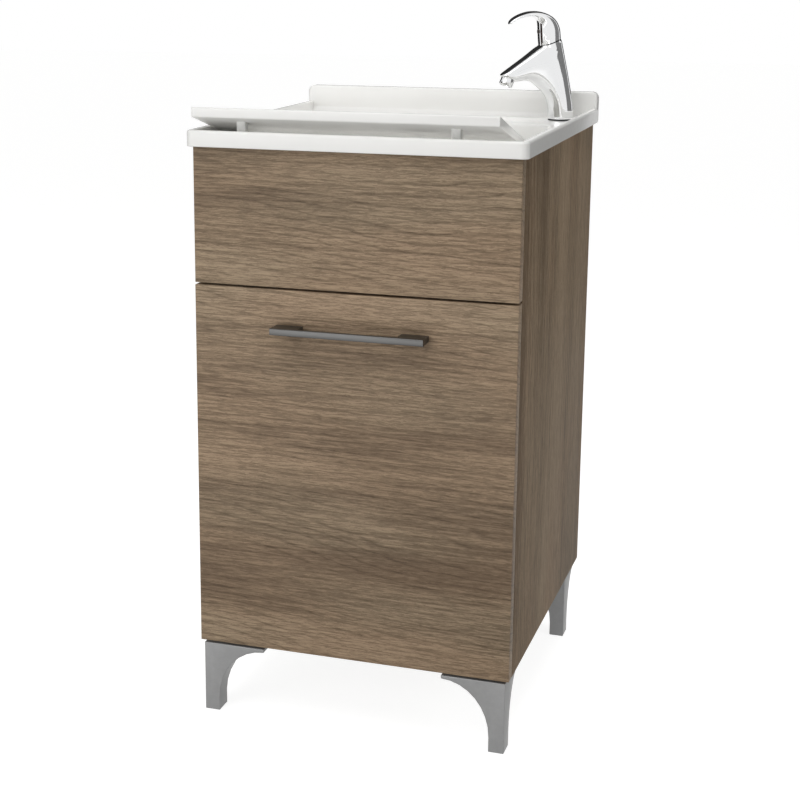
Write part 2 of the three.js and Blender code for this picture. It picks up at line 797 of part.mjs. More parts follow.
function washboardGeometry() {
  const start = new THREE.Vector2(washboardFront, washboardTop);
  const end = new THREE.Vector2(washboardRear, washboardRest + washboardTail);
  const along = end.clone().sub(start);
  const length = along.length();
  along.normalize();
  const outwards = new THREE.Vector2(-along.y, along.x);
  const pitch = (length - washboardPlainFront - washboardPlainRear) / washboardRibs;
  const crest = [[0.1, 0], [0.35, 1], [0.65, 1], [0.9, 0]];
  const ribs = Array.from({ length: washboardRibs }, (_, rib) =>
    crest.map(([share, height]) => {
      const point = start.clone().addScaledVector(along, washboardPlainFront + (rib + share) * pitch);
      return point.addScaledVector(outwards, height * washboardRibHeight).toArray();
    })).flat();
  const rounding = washboardEdge / 4;
  return prism([
    [washboardFront, washboardUnder],
    [washboardFront, washboardTop - rounding],
    start.clone().addScaledVector(along, rounding).toArray(),
    ...ribs,
    end.toArray(),
    [washboardRear, washboardRest],
    [washboardRear - washboardRestLength, washboardRest],
  ], 'x', ...washboardSpan);
}

function addWashboard() {
  const near = washboardFootFromFront;
  const far = near + washboardFootDepth;
  const outline = [
    [washboardFront + near, washboardRest],
    [washboardFront + far, washboardRest],
    [washboardFront + far, undersideAt(far) + washboardTail],
    [washboardFront + near, undersideAt(near) + washboardTail],
  ];
  const places = [washboardSpan[0] + washboardFootFromEnd, washboardSpan[1] - washboardFootFromEnd];
  const feet = places.map((x) => prism(outline, 'x', ...spanAbout(x, washboardFootWidth)));
  add('washboard', joined(washboardGeometry(), ...feet), white);
}

// ---------------------------------------------------------------- door

const pinY = doorFront + hingePinFromFace;
const pinZ = doorBottom + hingePinRise;
const hingeArm = [sideInner - hingeOffset - hingeArmWidth, sideInner - hingeOffset];
const earInner = [hingeArm[0] - hingeEarGap - hingeEarWidth, hingeArm[0] - hingeEarGap];
const earOuter = [hingeArm[1] + hingeEarGap, hingeArm[1] + hingeEarGap + hingeEarWidth];
const pocketSpan = [earInner[0] - hingePocketMargin, earOuter[1] + hingePocketMargin];
const handleZ = doorTop - handleFromDoorTop;
const handleScrewX = (handleLength - handleFootWidth) / 2;

const acrossPin = (radius, [x0, x1], segments) =>
  rod(radius, x0, x1, segments).rotateY(Math.PI / 2).translate(0, pinY, pinZ);

function doorGeometry() {
  const panel = box([-cabinetWidth / 2, cabinetWidth / 2], [doorFront, doorBack], [doorBottom, doorTop]);
  const pocket = box(
    pocketSpan,
    [pinY - hingeEyeRadius - hingePocketDepthMargin, doorBack + cutPast],
    [doorBottom - cutPast, doorBottom + hingePocketHeight],
  );
  const screwHoles = [-handleScrewX, handleScrewX].map((x) =>
    rod(screwRadius + screwClearance, 0, frontThickness + 2 * cutPast, boltRound)
      .rotateX(Math.PI / 2)
      .translate(x, doorBack + cutPast, handleZ));
  return cut(panel, pocket, mirroredX(pocket), ...screwHoles);
}

function handleGeometry() {
  const bar = prism(
    roundedRectangle(
      [doorFront - handleStandoff, doorFront - handleStandoff + handleBarDepth],
      spanAbout(handleZ, handleBarHeight),
      handleRounding,
      handleRoundingSteps,
    ),
    'x',
    -handleLength / 2,
    handleLength / 2,
  );
  const feet = [-handleScrewX, handleScrewX].map((x) => box(
    spanAbout(x, handleFootWidth),
    [doorFront - handleStandoff + handleBarDepth / 2, doorFront - fit],
    spanAbout(handleZ, handleFootHeight),
  ));
  const holes = [-handleScrewX, handleScrewX].map((x) =>
    rod(screwRadius + screwClearance, -cutPast, handleScrewGrip + screwClearance, boltRound)
      .rotateX(Math.PI / 2)
      .translate(x, doorFront, handleZ));
  return cut(joined(bar, ...feet), ...holes);
}

function hingeLeafGeometry() {
  const plate = box(
    [earInner[0], earOuter[1]],
    [doorBack + fit, doorBack + fit + hingeLeafThickness],
    [doorBottom + hingePocketHeight - hingeLeafOverlap, doorBottom + hingePocketHeight + hingeLeafHeight],
  );
  const earTop = doorBottom + hingePocketHeight - hingePocketMargin;
  const ears = [earInner, earOuter].flatMap((span) => [
    acrossPin(hingeEyeRadius, span, smallRound),
    box(span, [pinY, doorBack + fit + hingeLeafThickness], [pinZ, earTop]),
  ]);
  const boreSpan = [earInner[0] - cutPast, earOuter[1] + cutPast];
  const bore = acrossPin(hingePinRadius + runningGap, boreSpan, smallRound);
  return cut(joined(plate, ...ears), bore);
}

function hingeBracketGeometry() {
  const neckFront = doorBack + fit + hingeLeafThickness + hingeMovingGap;
  const neckBack = neckFront + hingeNeckDepth;
  const plateBottom = bottomPanelTop + hingeBracketLift;
  const plate = box(
    [sideInner - fit - hingeBracketThickness, sideInner - fit],
    [neckFront, neckFront + hingeBracketDepth],
    [plateBottom, plateBottom + hingeBracketHeight],
  );
  const neck = box(
    [hingeArm[0], sideInner - fit],
    [neckFront, neckBack],
    [pinZ - hingeEyeRadius, plateBottom + hingeBracketHeight / 2],
  );
  const arm = box(hingeArm, [pinY, neckBack], spanAbout(pinZ, 2 * hingeEyeRadius));
  const eye = acrossPin(hingeEyeRadius, hingeArm, smallRound);
  const boreSpan = [hingeArm[0] - cutPast, hingeArm[1] + cutPast];
  const bore = acrossPin(hingePinRadius + runningGap, boreSpan, smallRound);
  return cut(joined(plate, neck, arm, eye), bore);
}

// Basket outline at a share of its height, 0 at the bottom and 1 at the rim, grown outwards.
function basketOutline(share, grow) {
  const lean = basketTaper * (1 - share);
  return roundedRectangle(
    [-basketWidth / 2 + lean - grow, basketWidth / 2 - lean + grow],
    [basketFront - grow, basketFront + basketTopDepth - lean + grow],
    basketCornerRadius + grow,
    basketCornerSteps,
  );
}

function basketGeometry() {
  const top = basketBottom + basketHeight;
  const skin = (share, grow, z) => level(basketOutline(share, grow), z);
  const outer = loft([skin(0, 0, basketBottom), skin(1, 0, top)]);
  const inner = loft([
    skin(0, -basketWall, basketBottom + basketWall),
    skin(1, -basketWall, top),
    skin(1, -basketWall, top + cutPast),
  ]);
  const rim = loft([
    skin(1, basketRim, top - basketRimThickness),
    skin(1, basketRim, top),
  ]);
  const slotZone = basketHeight - 2 * basketSlotMargin;
  const slotHeight = slotZone / basketSlotRows - basketSlotMargin / 2;
  const slotPitch = (basketWidth - 2 * basketTaper - 2 * basketCornerRadius) / basketSlotColumns;
  const slots = [];
  for (let row = 0; row < basketSlotRows; row += 1) {
    const z = basketBottom + basketSlotMargin + (slotZone * (row + 0.5)) / basketSlotRows;
    for (let column = 0; column < basketSlotColumns; column += 1) {
      const x = (column - (basketSlotColumns - 1) / 2) * slotPitch;
      slots.push(box(
        spanAbout(x, basketSlotWidth),
        [basketFront - basketRim, basketFront + basketTopDepth + basketRim],
        spanAbout(z, slotHeight),
      ));
    }
  }
  return cut(joined(outer, rim), inner, ...slots);
}

function basketHookGeometry(x) {
  const rimUnder = basketBottom + basketHeight - basketRimThickness - fit;
  const plate = box(
    spanAbout(x, basketHookWidth),
    [doorBack + fit, doorBack + fit + basketHookThickness],
    spanAbout(rimUnder, basketHookHeight),
  );
  const shelf = box(
    spanAbout(x, basketHookWidth),
    [doorBack + fit, basketFront - basketHookGap],
    [rimUnder - basketHookThickness, rimUnder],
  );
  return joined(plate, shelf);
}

function addDoor() {
  add('door_panel', doorGeometry(), wood);
  add('door_handle', handleGeometry(), handleMetal);
  sides.forEach(([word, side]) => {
    const bolt = screw(frontThickness + handleScrewGrip - fit).rotateX(Math.PI / 2);
    add(`handle_screw_${word}`, bolt.translate(side * handleScrewX, doorBack + fit, handleZ), steel);
    add(`hinge_leaf_${word}`, onSide(hingeLeafGeometry(), side), steel);
    add(`hinge_bracket_${word}`, onSide(hingeBracketGeometry(), side), steel);
    const pin = acrossPin(hingePinRadius, [earInner[0] - fit, earOuter[1] + fit], smallRound);
    add(`hinge_pin_${word}`, onSide(pin, side), steel);
    add(`basket_hook_${word}`, basketHookGeometry((side * basketHookSpread) / 2), steel);
  });
  add('laundry_basket', basketGeometry(), basketPlastic);
  const catchTop = lowerRailBottom - fit;
  const catchFront = carcassFront + catchGap;
  add('magnet_catch', box(
    spanAbout(0, catchWidth),
    [catchFront, catchFront + catchDepth],
    [catchTop - catchHeight, catchTop],
  ), rubber);
  add('strike_plate', box(
    spanAbout(0, strikeWidth),
    [doorBack + fit, catchFront - fit],
    spanAbout(catchTop - catchHeight / 2, strikeHeight),
  ), steel);
}

// ---------------------------------------------------------------- tap

// Ellipse between two points of the side view, with its own half width across.
function tapSection([out0, up0], [out1, up1], halfWidth, count = 24) {
  const middle = new THREE.Vector3((out0 + out1) / 2, 0, (up0 + up1) / 2);
  const half = new THREE.Vector3((out1 - out0) / 2, 0, (up1 - up0) / 2);
  return Array.from({ length: count }, (_, i) => {
    const angle = (2 * Math.PI * i) / count;
    const point = middle.clone().addScaledVector(half, Math.cos(angle));
    point.y = halfWidth * Math.sin(angle);
    return point;
  });
}

const headAcross = [Math.cos(tapHeadTilt), -Math.sin(tapHeadTilt)];
const headUp = [Math.sin(tapHeadTilt), Math.cos(tapHeadTilt)];

// Point given across and along the tilted head, in the side view.
const headPoint = (across, up) => [
  tapHeadOut + across * headAcross[0] + up * headUp[0],
  tapHeadHeight + across * headAcross[1] + up * headUp[1],
];

const liftPin = headPoint(0, tapLiftHeight);

function placedAtLift(geometry) {
  return geometry.rotateY(tapHeadTilt).translate(liftPin[0], 0, liftPin[1]);
}

const liftSphere = (radius, turns) => placedAtLift(new THREE.SphereGeometry(radius, turns, turns / 2));

function tapColumn() {
  const sections = 6;
  return loft(Array.from({ length: sections + 1 }, (_, i) => {
    const share = i / sections;
    const radius = tapBaseRadius + (tapNeckRadius - tapBaseRadius) * share;
    const tilt = tapHeadTilt * share ** 2;
    const centre = [tapHeadOut * share, tapHeadHeight * share];
    const across = [Math.cos(tilt) * radius, -Math.sin(tilt) * radius];
    return tapSection(
      [centre[0] - across[0], centre[1] - across[1]],
      [centre[0] + across[0], centre[1] + across[1]],
      radius,
    );
  }));
}

// Spout sections: top point, bottom point and half width, from inside the column to the nose.
const spoutSections = [
  [[14, 108], [8, 18], 13],
  [[27, 108.5], [22, 24], 15],
  [[38.8, 106], [30, 36.6], 15.5],
  [[48, 99.6], [40, 46], 14.6],
  [[59, 92.2], [52, 54.2], 13.6],
  [[71, 84.2], [65, 56], 12.8],
  [[83, 76.2], [76, 55], 12.2],
  [[91, 70.9], [84, 57], 11.6],
  [[96, 67.4], [91.5, 60.2], 9.6],
  [[98.8, 65.2], [96.6, 62.4], 5.5],
];

const aeratorPlace = (geometry) =>
  geometry.rotateY(-aeratorTilt).translate(aeratorOut, 0, aeratorHeight);

function tapBodyGeometry() {
  const spout = loft(spoutSections.map(([top, bottom, halfWidth]) => tapSection(bottom, top, halfWidth)));
  const seat = liftSphere(tapSeatRadius, 32);
  const cartridgeTop = -tapSeatRadius - fit;
  const bore = placedAtLift(rod(
    cartridgeRadius + fit,
    cartridgeTop - cartridgeLength - fit,
    0,
    24,
  ));
  const aeratorSeat = aeratorPlace(rod(aeratorRadius + fit, -aeratorRadius, aeratorSink + fit, 24));
  const inlets = [-tapTailSpread / 2, tapTailSpread / 2].map((across) =>
    rod(tapTailRadius + fit, -1, tapGripDepth + fit, 12).translate(tapTailOut, across, 0));
  const studHole = rod(tapStudRadius + fit, -1, tapGripDepth + fit, 12).translate(-tapStudBack, 0, 0);
  return cut(joined(tapColumn(), spout), seat, bore, aeratorSeat, studHole, ...inlets);
}

// Lever sections: back or top point, front or lower point and half width, from joint to tip.
const leverSections = [
  [headPoint(-tapNeckRadius, 0), headPoint(tapNeckRadius, 0), tapNeckRadius],
  [[8.2, 125], [41, 118.5], 17],
  [[10.4, 133], [41.4, 130], 16.6],
  [[15, 141], [41.6, 137.5], 15.6],
  [[22.5, 147.6], [42.2, 141.2], 14.4],
  [[33, 152.6], [44.4, 143.6], 13],
  [[45, 154.9], [49, 145.8], 11.8],
  [[58, 154.3], [58.4, 146.6], 10.8],
  [[70, 151.2], [68, 145.2], 9.8],
  [[80.6, 146.4], [77.4, 142.2], 8.6],
  [[86.6, 141.4], [83, 138.4], 6.6],
  [[88.4, 137.6], [85.8, 136.2], 3.6],
];

function leverGeometry() {
  const shell = loft(leverSections.map(([top, low, halfWidth]) => tapSection(low, top, halfWidth)));
  const ball = liftSphere(tapSeatRadius - 2 * fit, 32);
  const skirt = placedAtLift(rod(tapNeckRadius - fit, -tapSeatRadius, -tapLiftHeight + 1, 24));
  const room = stemEyeRadius + leverSlotGap;
  const slotWidth = stemEyeWidth / 2 + leverSlotGap;
  const slot = placedAtLift(prism([
    [-room - tapSeatRadius * 0.5, -tapSeatRadius - 1],
    [room, -tapSeatRadius - 1],
    [room, room],
    [-room, room],
    [-room - 1, -stemEyeRadius],
  ], 'y', -slotWidth, slotWidth));
  const pinHole = placedAtLift(rod(liftPinRadius + runningGap, -liftPinLength / 2 - fit, liftPinLength / 2 + fit, 16)
    .rotateX(Math.PI / 2));
  const indexHole = indexPlace(rod(indexCapRadius + fit, -indexCapDepth, indexCapRadius + 6, 16));
  return cut(joined(shell, common(ball, skirt)), slot, pinHole, indexHole);
}

// The index cap sits in the front of the lever's cap, facing along the spout.
const indexPlace = (geometry) => geometry.rotateY(Math.PI / 2).translate(indexOut, 0, indexHeight);
const indexHeight = 126;
const indexOut = 39;

function addTap() {
  const tap = new THREE.Group();
  tap.position.set(tapX, tapY, deckTop + tapGasketThickness + 2 * fit);
  tap.rotation.z = tapHeading;
  model.add(tap);
  const seatZ = -(deckTop + tapGasketThickness + 2 * fit) + topBottom; // deck's underside

  add('tap_body', tapBodyGeometry(), chrome, tap);
  add('tap_gasket', ring(
    tapHoleRadius,
    tapBaseRadius - 1,
    -fit - tapGasketThickness,
    -fit,
    24,
  ), rubber, tap);
  add('aerator', aeratorPlace(turned([
    [aeratorBore, aeratorSink - aeratorLength],
    [aeratorRadius - 1, aeratorSink - aeratorLength],
    [aeratorRadius, aeratorSink - aeratorLength + 1],
    [aeratorRadius, aeratorSink],
    [0, aeratorSink],
    [0, aeratorSink - aeratorLength + 3],
    [aeratorBore, aeratorSink - aeratorLength + 3],
    [aeratorBore, aeratorSink - aeratorLength],
  ], 24)), chrome, tap);
  const cartridgeTop = -tapSeatRadius - fit;
  add('cartridge', cut(
    placedAtLift(rod(cartridgeRadius, cartridgeTop - cartridgeLength, cartridgeTop, 24)),
    placedAtLift(rod(stemRadius + runningGap, cartridgeTop - cartridgeLength / 2, 0, 16)),
  ), plastic, tap);
  const eyeSpan = stemEyeWidth / 2;
  add('cartridge_stem', cut(
    joined(
      placedAtLift(rod(stemRadius, cartridgeTop - cartridgeLength / 2 + fit, -1, 16)),
      placedAtLift(rod(stemEyeRadius, -eyeSpan, eyeSpan, 20).rotateX(Math.PI / 2)),
    ),
    placedAtLift(rod(liftPinRadius + runningGap, -eyeSpan - 1, eyeSpan + 1, 16).rotateX(Math.PI / 2)),
  ), steel, tap);
  add('lever', leverGeometry(), chrome, tap);
  add('lever_pin', placedAtLift(rod(liftPinRadius, -liftPinLength / 2, liftPinLength / 2, 16)
    .rotateX(Math.PI / 2)), steel, tap);
  add('index_cap', indexPlace(rod(indexCapRadius, -indexCapDepth + fit, indexCapDepth / 2, 16)), plastic, tap);

  add('tap_stud', rod(tapStudRadius, tapGripDepth - tapStudLength, tapGripDepth, 12)
    .translate(-tapStudBack, 0, 0), steel, tap);
  const tailWords = [['left', 1], ['right', -1]];
  tailWords.forEach(([word, side]) => {
    const tail = rod(tapTailRadius, tapGripDepth - tapTailLength, tapGripDepth, 12)
      .translate(tapTailOut, (side * tapTailSpread) / 2, 0);
    add(`inlet_tail_${word}`, tail, steel, tap);
  });
  const tailRoom = tapTailRadius + 2 * fit;
  const washerTop = seatZ - fit;
  add('tap_washer', cut(
    rod(tapWasherRadius, washerTop - tapWasherThickness, washerTop, 24),
    box(
      [tapTailOut - tailRoom, tapWasherRadius + 1],
      spanAbout(0, tapTailSpread + 2 * tailRoom),
      [washerTop - tapWasherThickness - 1, washerTop + 1],
    ),
    rod(tapStudRadius + fit, washerTop - tapWasherThickness - 1, washerTop + 1, 12).translate(-tapStudBack, 0, 0),
  ), steel, tap);
  const nutTop = washerTop - tapWasherThickness - fit;
  add('tap_nut', nut(tapStudRadius + fit, tapNutRadius, nutTop - tapNutHeight, nutTop, 6)
    .translate(-tapStudBack, 0, 0), steel, tap);
}

// ---------------------------------------------------------------- the whole

addCabinet();
addLegs();
addSinkTop();
addWaste();
addWashboard();
addDoor();
addTap();

// The origin is at the floor, in the middle of the whole object.
model.position.y = (cabinetDepth + handleStandoff) / 2;

export default model;
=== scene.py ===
"""Looks, stage and camera for the utility laundry sink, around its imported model."""

import json
import math

import bmesh
import bpy
from mathutils import Matrix, Vector


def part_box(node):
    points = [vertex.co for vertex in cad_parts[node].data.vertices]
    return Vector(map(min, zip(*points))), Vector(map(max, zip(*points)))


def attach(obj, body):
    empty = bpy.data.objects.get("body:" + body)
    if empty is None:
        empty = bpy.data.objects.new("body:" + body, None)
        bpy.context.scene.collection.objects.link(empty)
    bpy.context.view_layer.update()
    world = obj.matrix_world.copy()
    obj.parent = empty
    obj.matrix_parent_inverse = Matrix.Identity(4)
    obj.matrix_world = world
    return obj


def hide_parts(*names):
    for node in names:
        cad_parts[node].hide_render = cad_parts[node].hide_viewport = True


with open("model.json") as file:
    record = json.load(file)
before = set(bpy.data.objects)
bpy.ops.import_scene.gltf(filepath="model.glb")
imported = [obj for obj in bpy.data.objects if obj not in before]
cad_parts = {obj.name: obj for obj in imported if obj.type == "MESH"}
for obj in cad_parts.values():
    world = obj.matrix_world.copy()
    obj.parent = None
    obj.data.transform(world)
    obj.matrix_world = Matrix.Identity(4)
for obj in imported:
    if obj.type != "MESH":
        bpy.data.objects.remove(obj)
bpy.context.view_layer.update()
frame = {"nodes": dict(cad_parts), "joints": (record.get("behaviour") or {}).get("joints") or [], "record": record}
NODES = frame["nodes"]
SLOTS = {entry["node"]: entry["material_slot"] for entry in frame["record"]["subparts"]}
BODIES = {
    node: body
    for body, members in frame["record"]["behaviour"]["bodies"].items()
    for node in members
}
JOINTS = {joint["name"]: joint for joint in frame["joints"]}
MM = 0.001

bl_info = {
    "name": "Laundry sink",
    "version": (1, 0, 0),
    "blender": (4, 5, 0),
    "location": "3D View > Sidebar > Laundry sink",
    "description": "Finishes the parts of a utility laundry sink and sets its stage",
    "category": "Object",
}


# ---------------- settings

def number(name, description, default, **more):
    return bpy.props.FloatProperty(name=name, description=description, default=default, **more)


def length(name, description, default):
    return number(name, description, default * MM, unit="LENGTH", precision=5)


def colour(name, description, default):
    return bpy.props.FloatVectorProperty(
        name=name, description=description, default=default, subtype="COLOR", size=3, min=0, max=1)


def wattage(name, description, default):
    return number(name, description, default, unit="POWER")


class SinkSizes(bpy.types.PropertyGroup):
    """Sizes of the finish: edge roundings, ribs and walls."""
    board_edge: length("Board edge", "Rounding of the cabinet boards' edges", 0.8)
    metal_edge: length("Metal edge", "Rounding of the metal fittings' edges", 0.35)
    leg_edge: length("Leg edge", "Rounding of the legs' edges", 1.0)
    handle_edge: length("Handle edge", "Rounding of the handle's edges", 0.9)
    lip_width: length("Lip width", "Width of the sink top's raised lip", 8)
    lip_height: length("Lip height", "Height of the lip above the deck", 15)
    lip_outer_round: length("Lip outer rounding", "Rounding of the lip's outer top edge", 3.5)
    lip_inner_round: length("Lip inner rounding", "Rounding of the lip's inner top edge", 2)
    deck_fillet: length("Deck fillet", "Fillet between the lip and the deck", 2.5)
    corner_radius: length("Corner radius", "Radius of the sink top's corners", 10)
    upstand_width: length("Upstand thickness", "Thickness of the rear upstand", 18)
    upstand_height: length("Upstand height", "Height of the upstand above the lip", 24)
    upstand_corner: length("Upstand corner", "Radius of the upstand's top corners", 9)
    upstand_edge: length("Upstand edge", "Rounding of the upstand's edges", 2.5)
    upstand_cove: length("Upstand cove", "Fillet between the deck and the upstand", 7)
    bowl_front: length("Bowl front margin", "From the top's front to the bowl", 52)
    bowl_rear: length("Bowl rear margin", "From the bowl to the wall", 112)
    bowl_half_width: length("Bowl half width", "Half the width of the bowl's mouth", 183)
    bowl_depth: length("Bowl depth", "From the deck to the foot of the bowl's walls", 190)
    bowl_corner: length("Bowl corner", "Radius of the bowl's corners", 62)
    bowl_bend: length("Bowl bend", "Radius between the bowl's walls and floor", 34)
    bowl_draft: length("Bowl draft", "How far the walls lean in", 9)
    bowl_fall: length("Bowl fall", "Fall of the floor to the drain", 3)
    bowl_mouth: length("Bowl mouth", "Rounding of the bowl's mouth", 5)
    shell: length("Shell", "Thickness of the bowl's wall", 5)
    flange_radius: length("Flange radius", "Radius of the strainer's flange", 36)
    flange_height: length("Flange height", "Height of the strainer's flange", 2.6)
    drain_radius: length("Drain radius", "Radius of the strainer's cup", 27)
    rib_height: length("Rib height", "Height of the washboard's ribs", 1.6)
    rib_pitch: length("Rib pitch", "From one rib of the washboard to the next", 12.4)
    gap: length("Gap", "Clearance kept between two pieces", 0.3)


class SinkColours(bpy.types.PropertyGroup):
    """Colours of the finishes."""
    wood_dark: colour("Wood dark", "Darkest streaks of the wood finish", (0.221, 0.16, 0.105))
    wood_mid: colour("Wood middle", "Main tone of the wood finish", (0.326, 0.243, 0.161))
    wood_light: colour("Wood light", "Lightest streaks of the wood finish", (0.415, 0.312, 0.209))
    board: colour("Inner board", "Plain board inside the cabinet", (0.76, 0.725, 0.67))
    white: colour("White", "Sink top and washboard", (0.9, 0.895, 0.872))
    leg: colour("Leg", "Silver-grey legs", (0.28, 0.28, 0.28))
    handle: colour("Handle", "Satin bar handle", (0.105, 0.104, 0.102))
    chrome: colour("Chrome", "Tap and trap", (0.82, 0.825, 0.83))
    steel: colour("Steel", "Screws, hinges and brackets", (0.5, 0.5, 0.51))
    plastic: colour("Plastic", "White plastic fittings", (0.85, 0.85, 0.82))
    rubber: colour("Rubber", "Plug and gaskets", (0.02, 0.02, 0.021))
    basket: colour("Basket", "Laundry basket", (0.84, 0.82, 0.76))
    # Partly the feet's own pad colour, partly painted shade: it is kept darker than the white so the front-lit
    # feet match the shaded underside around them.
    pad: colour("Pad", "Feet under the washboard", (0.8, 0.8, 0.78))
    mark: colour("Mark", "Small cap on the lever", (0.05, 0.04, 0.035))


class StageSettings(bpy.types.PropertyGroup):
    """Camera, lamps and floor."""
    camera_place: bpy.props.FloatVectorProperty(
        name="Camera place", description="Where the camera stands", size=3, subtype="TRANSLATION",
        unit="LENGTH", default=(0.63324, -2.19022, 1.02189))
    camera_yaw: number(
        "Camera yaw", "Turn of the camera to the left", math.radians(19.042), subtype="ANGLE")
    camera_pitch: number(
        "Camera pitch", "Tilt of the camera downwards", math.radians(13.039), subtype="ANGLE")
    camera_lens: number("Camera lens", "Focal length", 74.03, unit="CAMERA")
    camera_shift: bpy.props.FloatVectorProperty(
        name="Camera shift", description="Shift of the picture, as a share of its width", size=2,
        default=(0.1, -0.075))
    floor_glow: number(
        "Floor glow", "How much lighter than its own shade the camera sees the floor", 0.84)
    key_power: wattage("Key power", "Power of the large lamp in front", 23.8)
    bounce_power: wattage(
        "Bounce power", "Power of the low lamp that lights the front from below", 13.4)
    fill_power: wattage("Fill power", "Power of the lamp above", 17)
    side_power: wattage("Side power", "Power of the weak lamp on the right", 9.4)
    rear_power: wattage("Rear power", "Power of the lamp above the wall side", 15)
    world_strength: number("World strength", "Strength of the light from all round", 0.41)


class SinkSettings(bpy.types.PropertyGroup):
    """All settings of the laundry sink."""
    sizes: bpy.props.PointerProperty(
        type=SinkSizes, name="Sizes", description="Sizes of the finish")
    colours: bpy.props.PointerProperty(
        type=SinkColours, name="Colours", description="Colours of the finishes")
    stage: bpy.props.PointerProperty(
        type=StageSettings, name="Stage", description="Camera, lamps and floor")


def settings():
    return bpy.context.scene.laundry_sink


# ---------------- node trees

CLOUD_SPAN = (0.3, 0.7)  # most values of a noise texture lie between these


class Tree:
    """A node tree, built step by step."""

    def __init__(self, tree):
        self.tree = tree
        tree.nodes.clear()

    def new(self, kind, *values, **named):
        """A node with values or sockets on its inputs, in order or by name with _ for a space."""
        node = self.tree.nodes.new(kind)
        for socket, value in zip(node.inputs, values):
            self.put(socket, value)
        self.fill(node, named)
        return node

    def fill(self, node, named):
        for name, value in named.items():
            self.put(node.inputs[name.replace("_", " ")], value)

    def link(self, source, target):
        self.tree.links.new(source, target)

    def put(self, socket, value):
        if isinstance(value, bpy.types.NodeSocket):
            self.link(value, socket)
        else:
            socket.default_value = value

    def math(self, operation, *values):
        node = self.new("ShaderNodeMath", *values)
        node.operation = operation
        return node.outputs[0]

    def ranged(self, value, start, end, low=0.0, high=1.0, kind="SMOOTHSTEP"):
        node = self.new(
            "ShaderNodeMapRange", Value=value, From_Min=start, From_Max=end, To_Min=low, To_Max=high)
        node.interpolation_type = kind
        return node.outputs[0]


class Nodes(Tree):
    """A material's node tree, with its shader and its object coordinates."""

    def __init__(self, name):
        self.material = bpy.data.materials.new(name)
        self.material.use_nodes = True
        super().__init__(self.material.node_tree)
        self.output = self.new("ShaderNodeOutputMaterial")
        self.shader = self.new("ShaderNodeBsdfPrincipled")
        self.link(self.shader.outputs["BSDF"], self.output.inputs["Surface"])
        self.place = self.new("ShaderNodeTexCoord").outputs["Object"]

    def dot(self, place, weights):
        node = self.new("ShaderNodeVectorMath", place, weights)
        node.operation = "DOT_PRODUCT"
        return node.outputs["Value"]

    def stretched(self, place, scale, offset=(0, 0, 0)):
        return self.new(
            "ShaderNodeMapping", Vector=place, Location=offset, Scale=scale).outputs[0]

    def cloud(self, place, scale=1.0, detail=3.0, roughness=0.55, distortion=0.0):
        node = self.new(
            "ShaderNodeTexNoise", Vector=place, Scale=scale, Detail=detail, Roughness=roughness,
            Distortion=distortion)
        return node.outputs["Fac"]

    def ramp(self, factor, stops):
        node = self.new("ShaderNodeValToRGB", Fac=factor)
        elements = node.color_ramp.elements
        while len(elements) < len(stops):
            elements.new(0.5)
        for element, (position, value) in zip(elements, stops):
            element.position = position
            element.color = (*value, 1)
        return node.outputs["Color"]

    def mix(self, factor, first, second, blend="MIX"):
        node = self.new("ShaderNodeMix")
        node.data_type = "RGBA"
        node.blend_type = blend
        self.put(node.inputs[0], factor)
        self.put(node.inputs[6], first)
        self.put(node.inputs[7], second)
        return node.outputs[2]

    def between(self, factor, low, high):
        return self.ranged(factor, *CLOUD_SPAN, low, high, "LINEAR")

    def bump(self, height, depth, strength):
        node = self.new("ShaderNodeBump", Strength=strength, Distance=depth, Height=height)
        self.link(node.outputs[0], self.shader.inputs["Normal"])

    def set(self, **values):
        self.fill(self.shader, values)


def shaded(value, factor):
    return tuple(min(1.0, channel * factor) for channel in value)


def lengthwise(by_length, by_width, along):
    """The scale of a texture that is drawn out along one axis."""
    scale = [by_width] * 3
    scale[along] = by_length
    return tuple(scale)


# ---------------- materials

RINGS_PER_METRE = 84
BROAD_SHARE = 0.72  # of the broad clouds in the tone; the streaks make up the rest
GRAIN_DEPTH = 0.0004


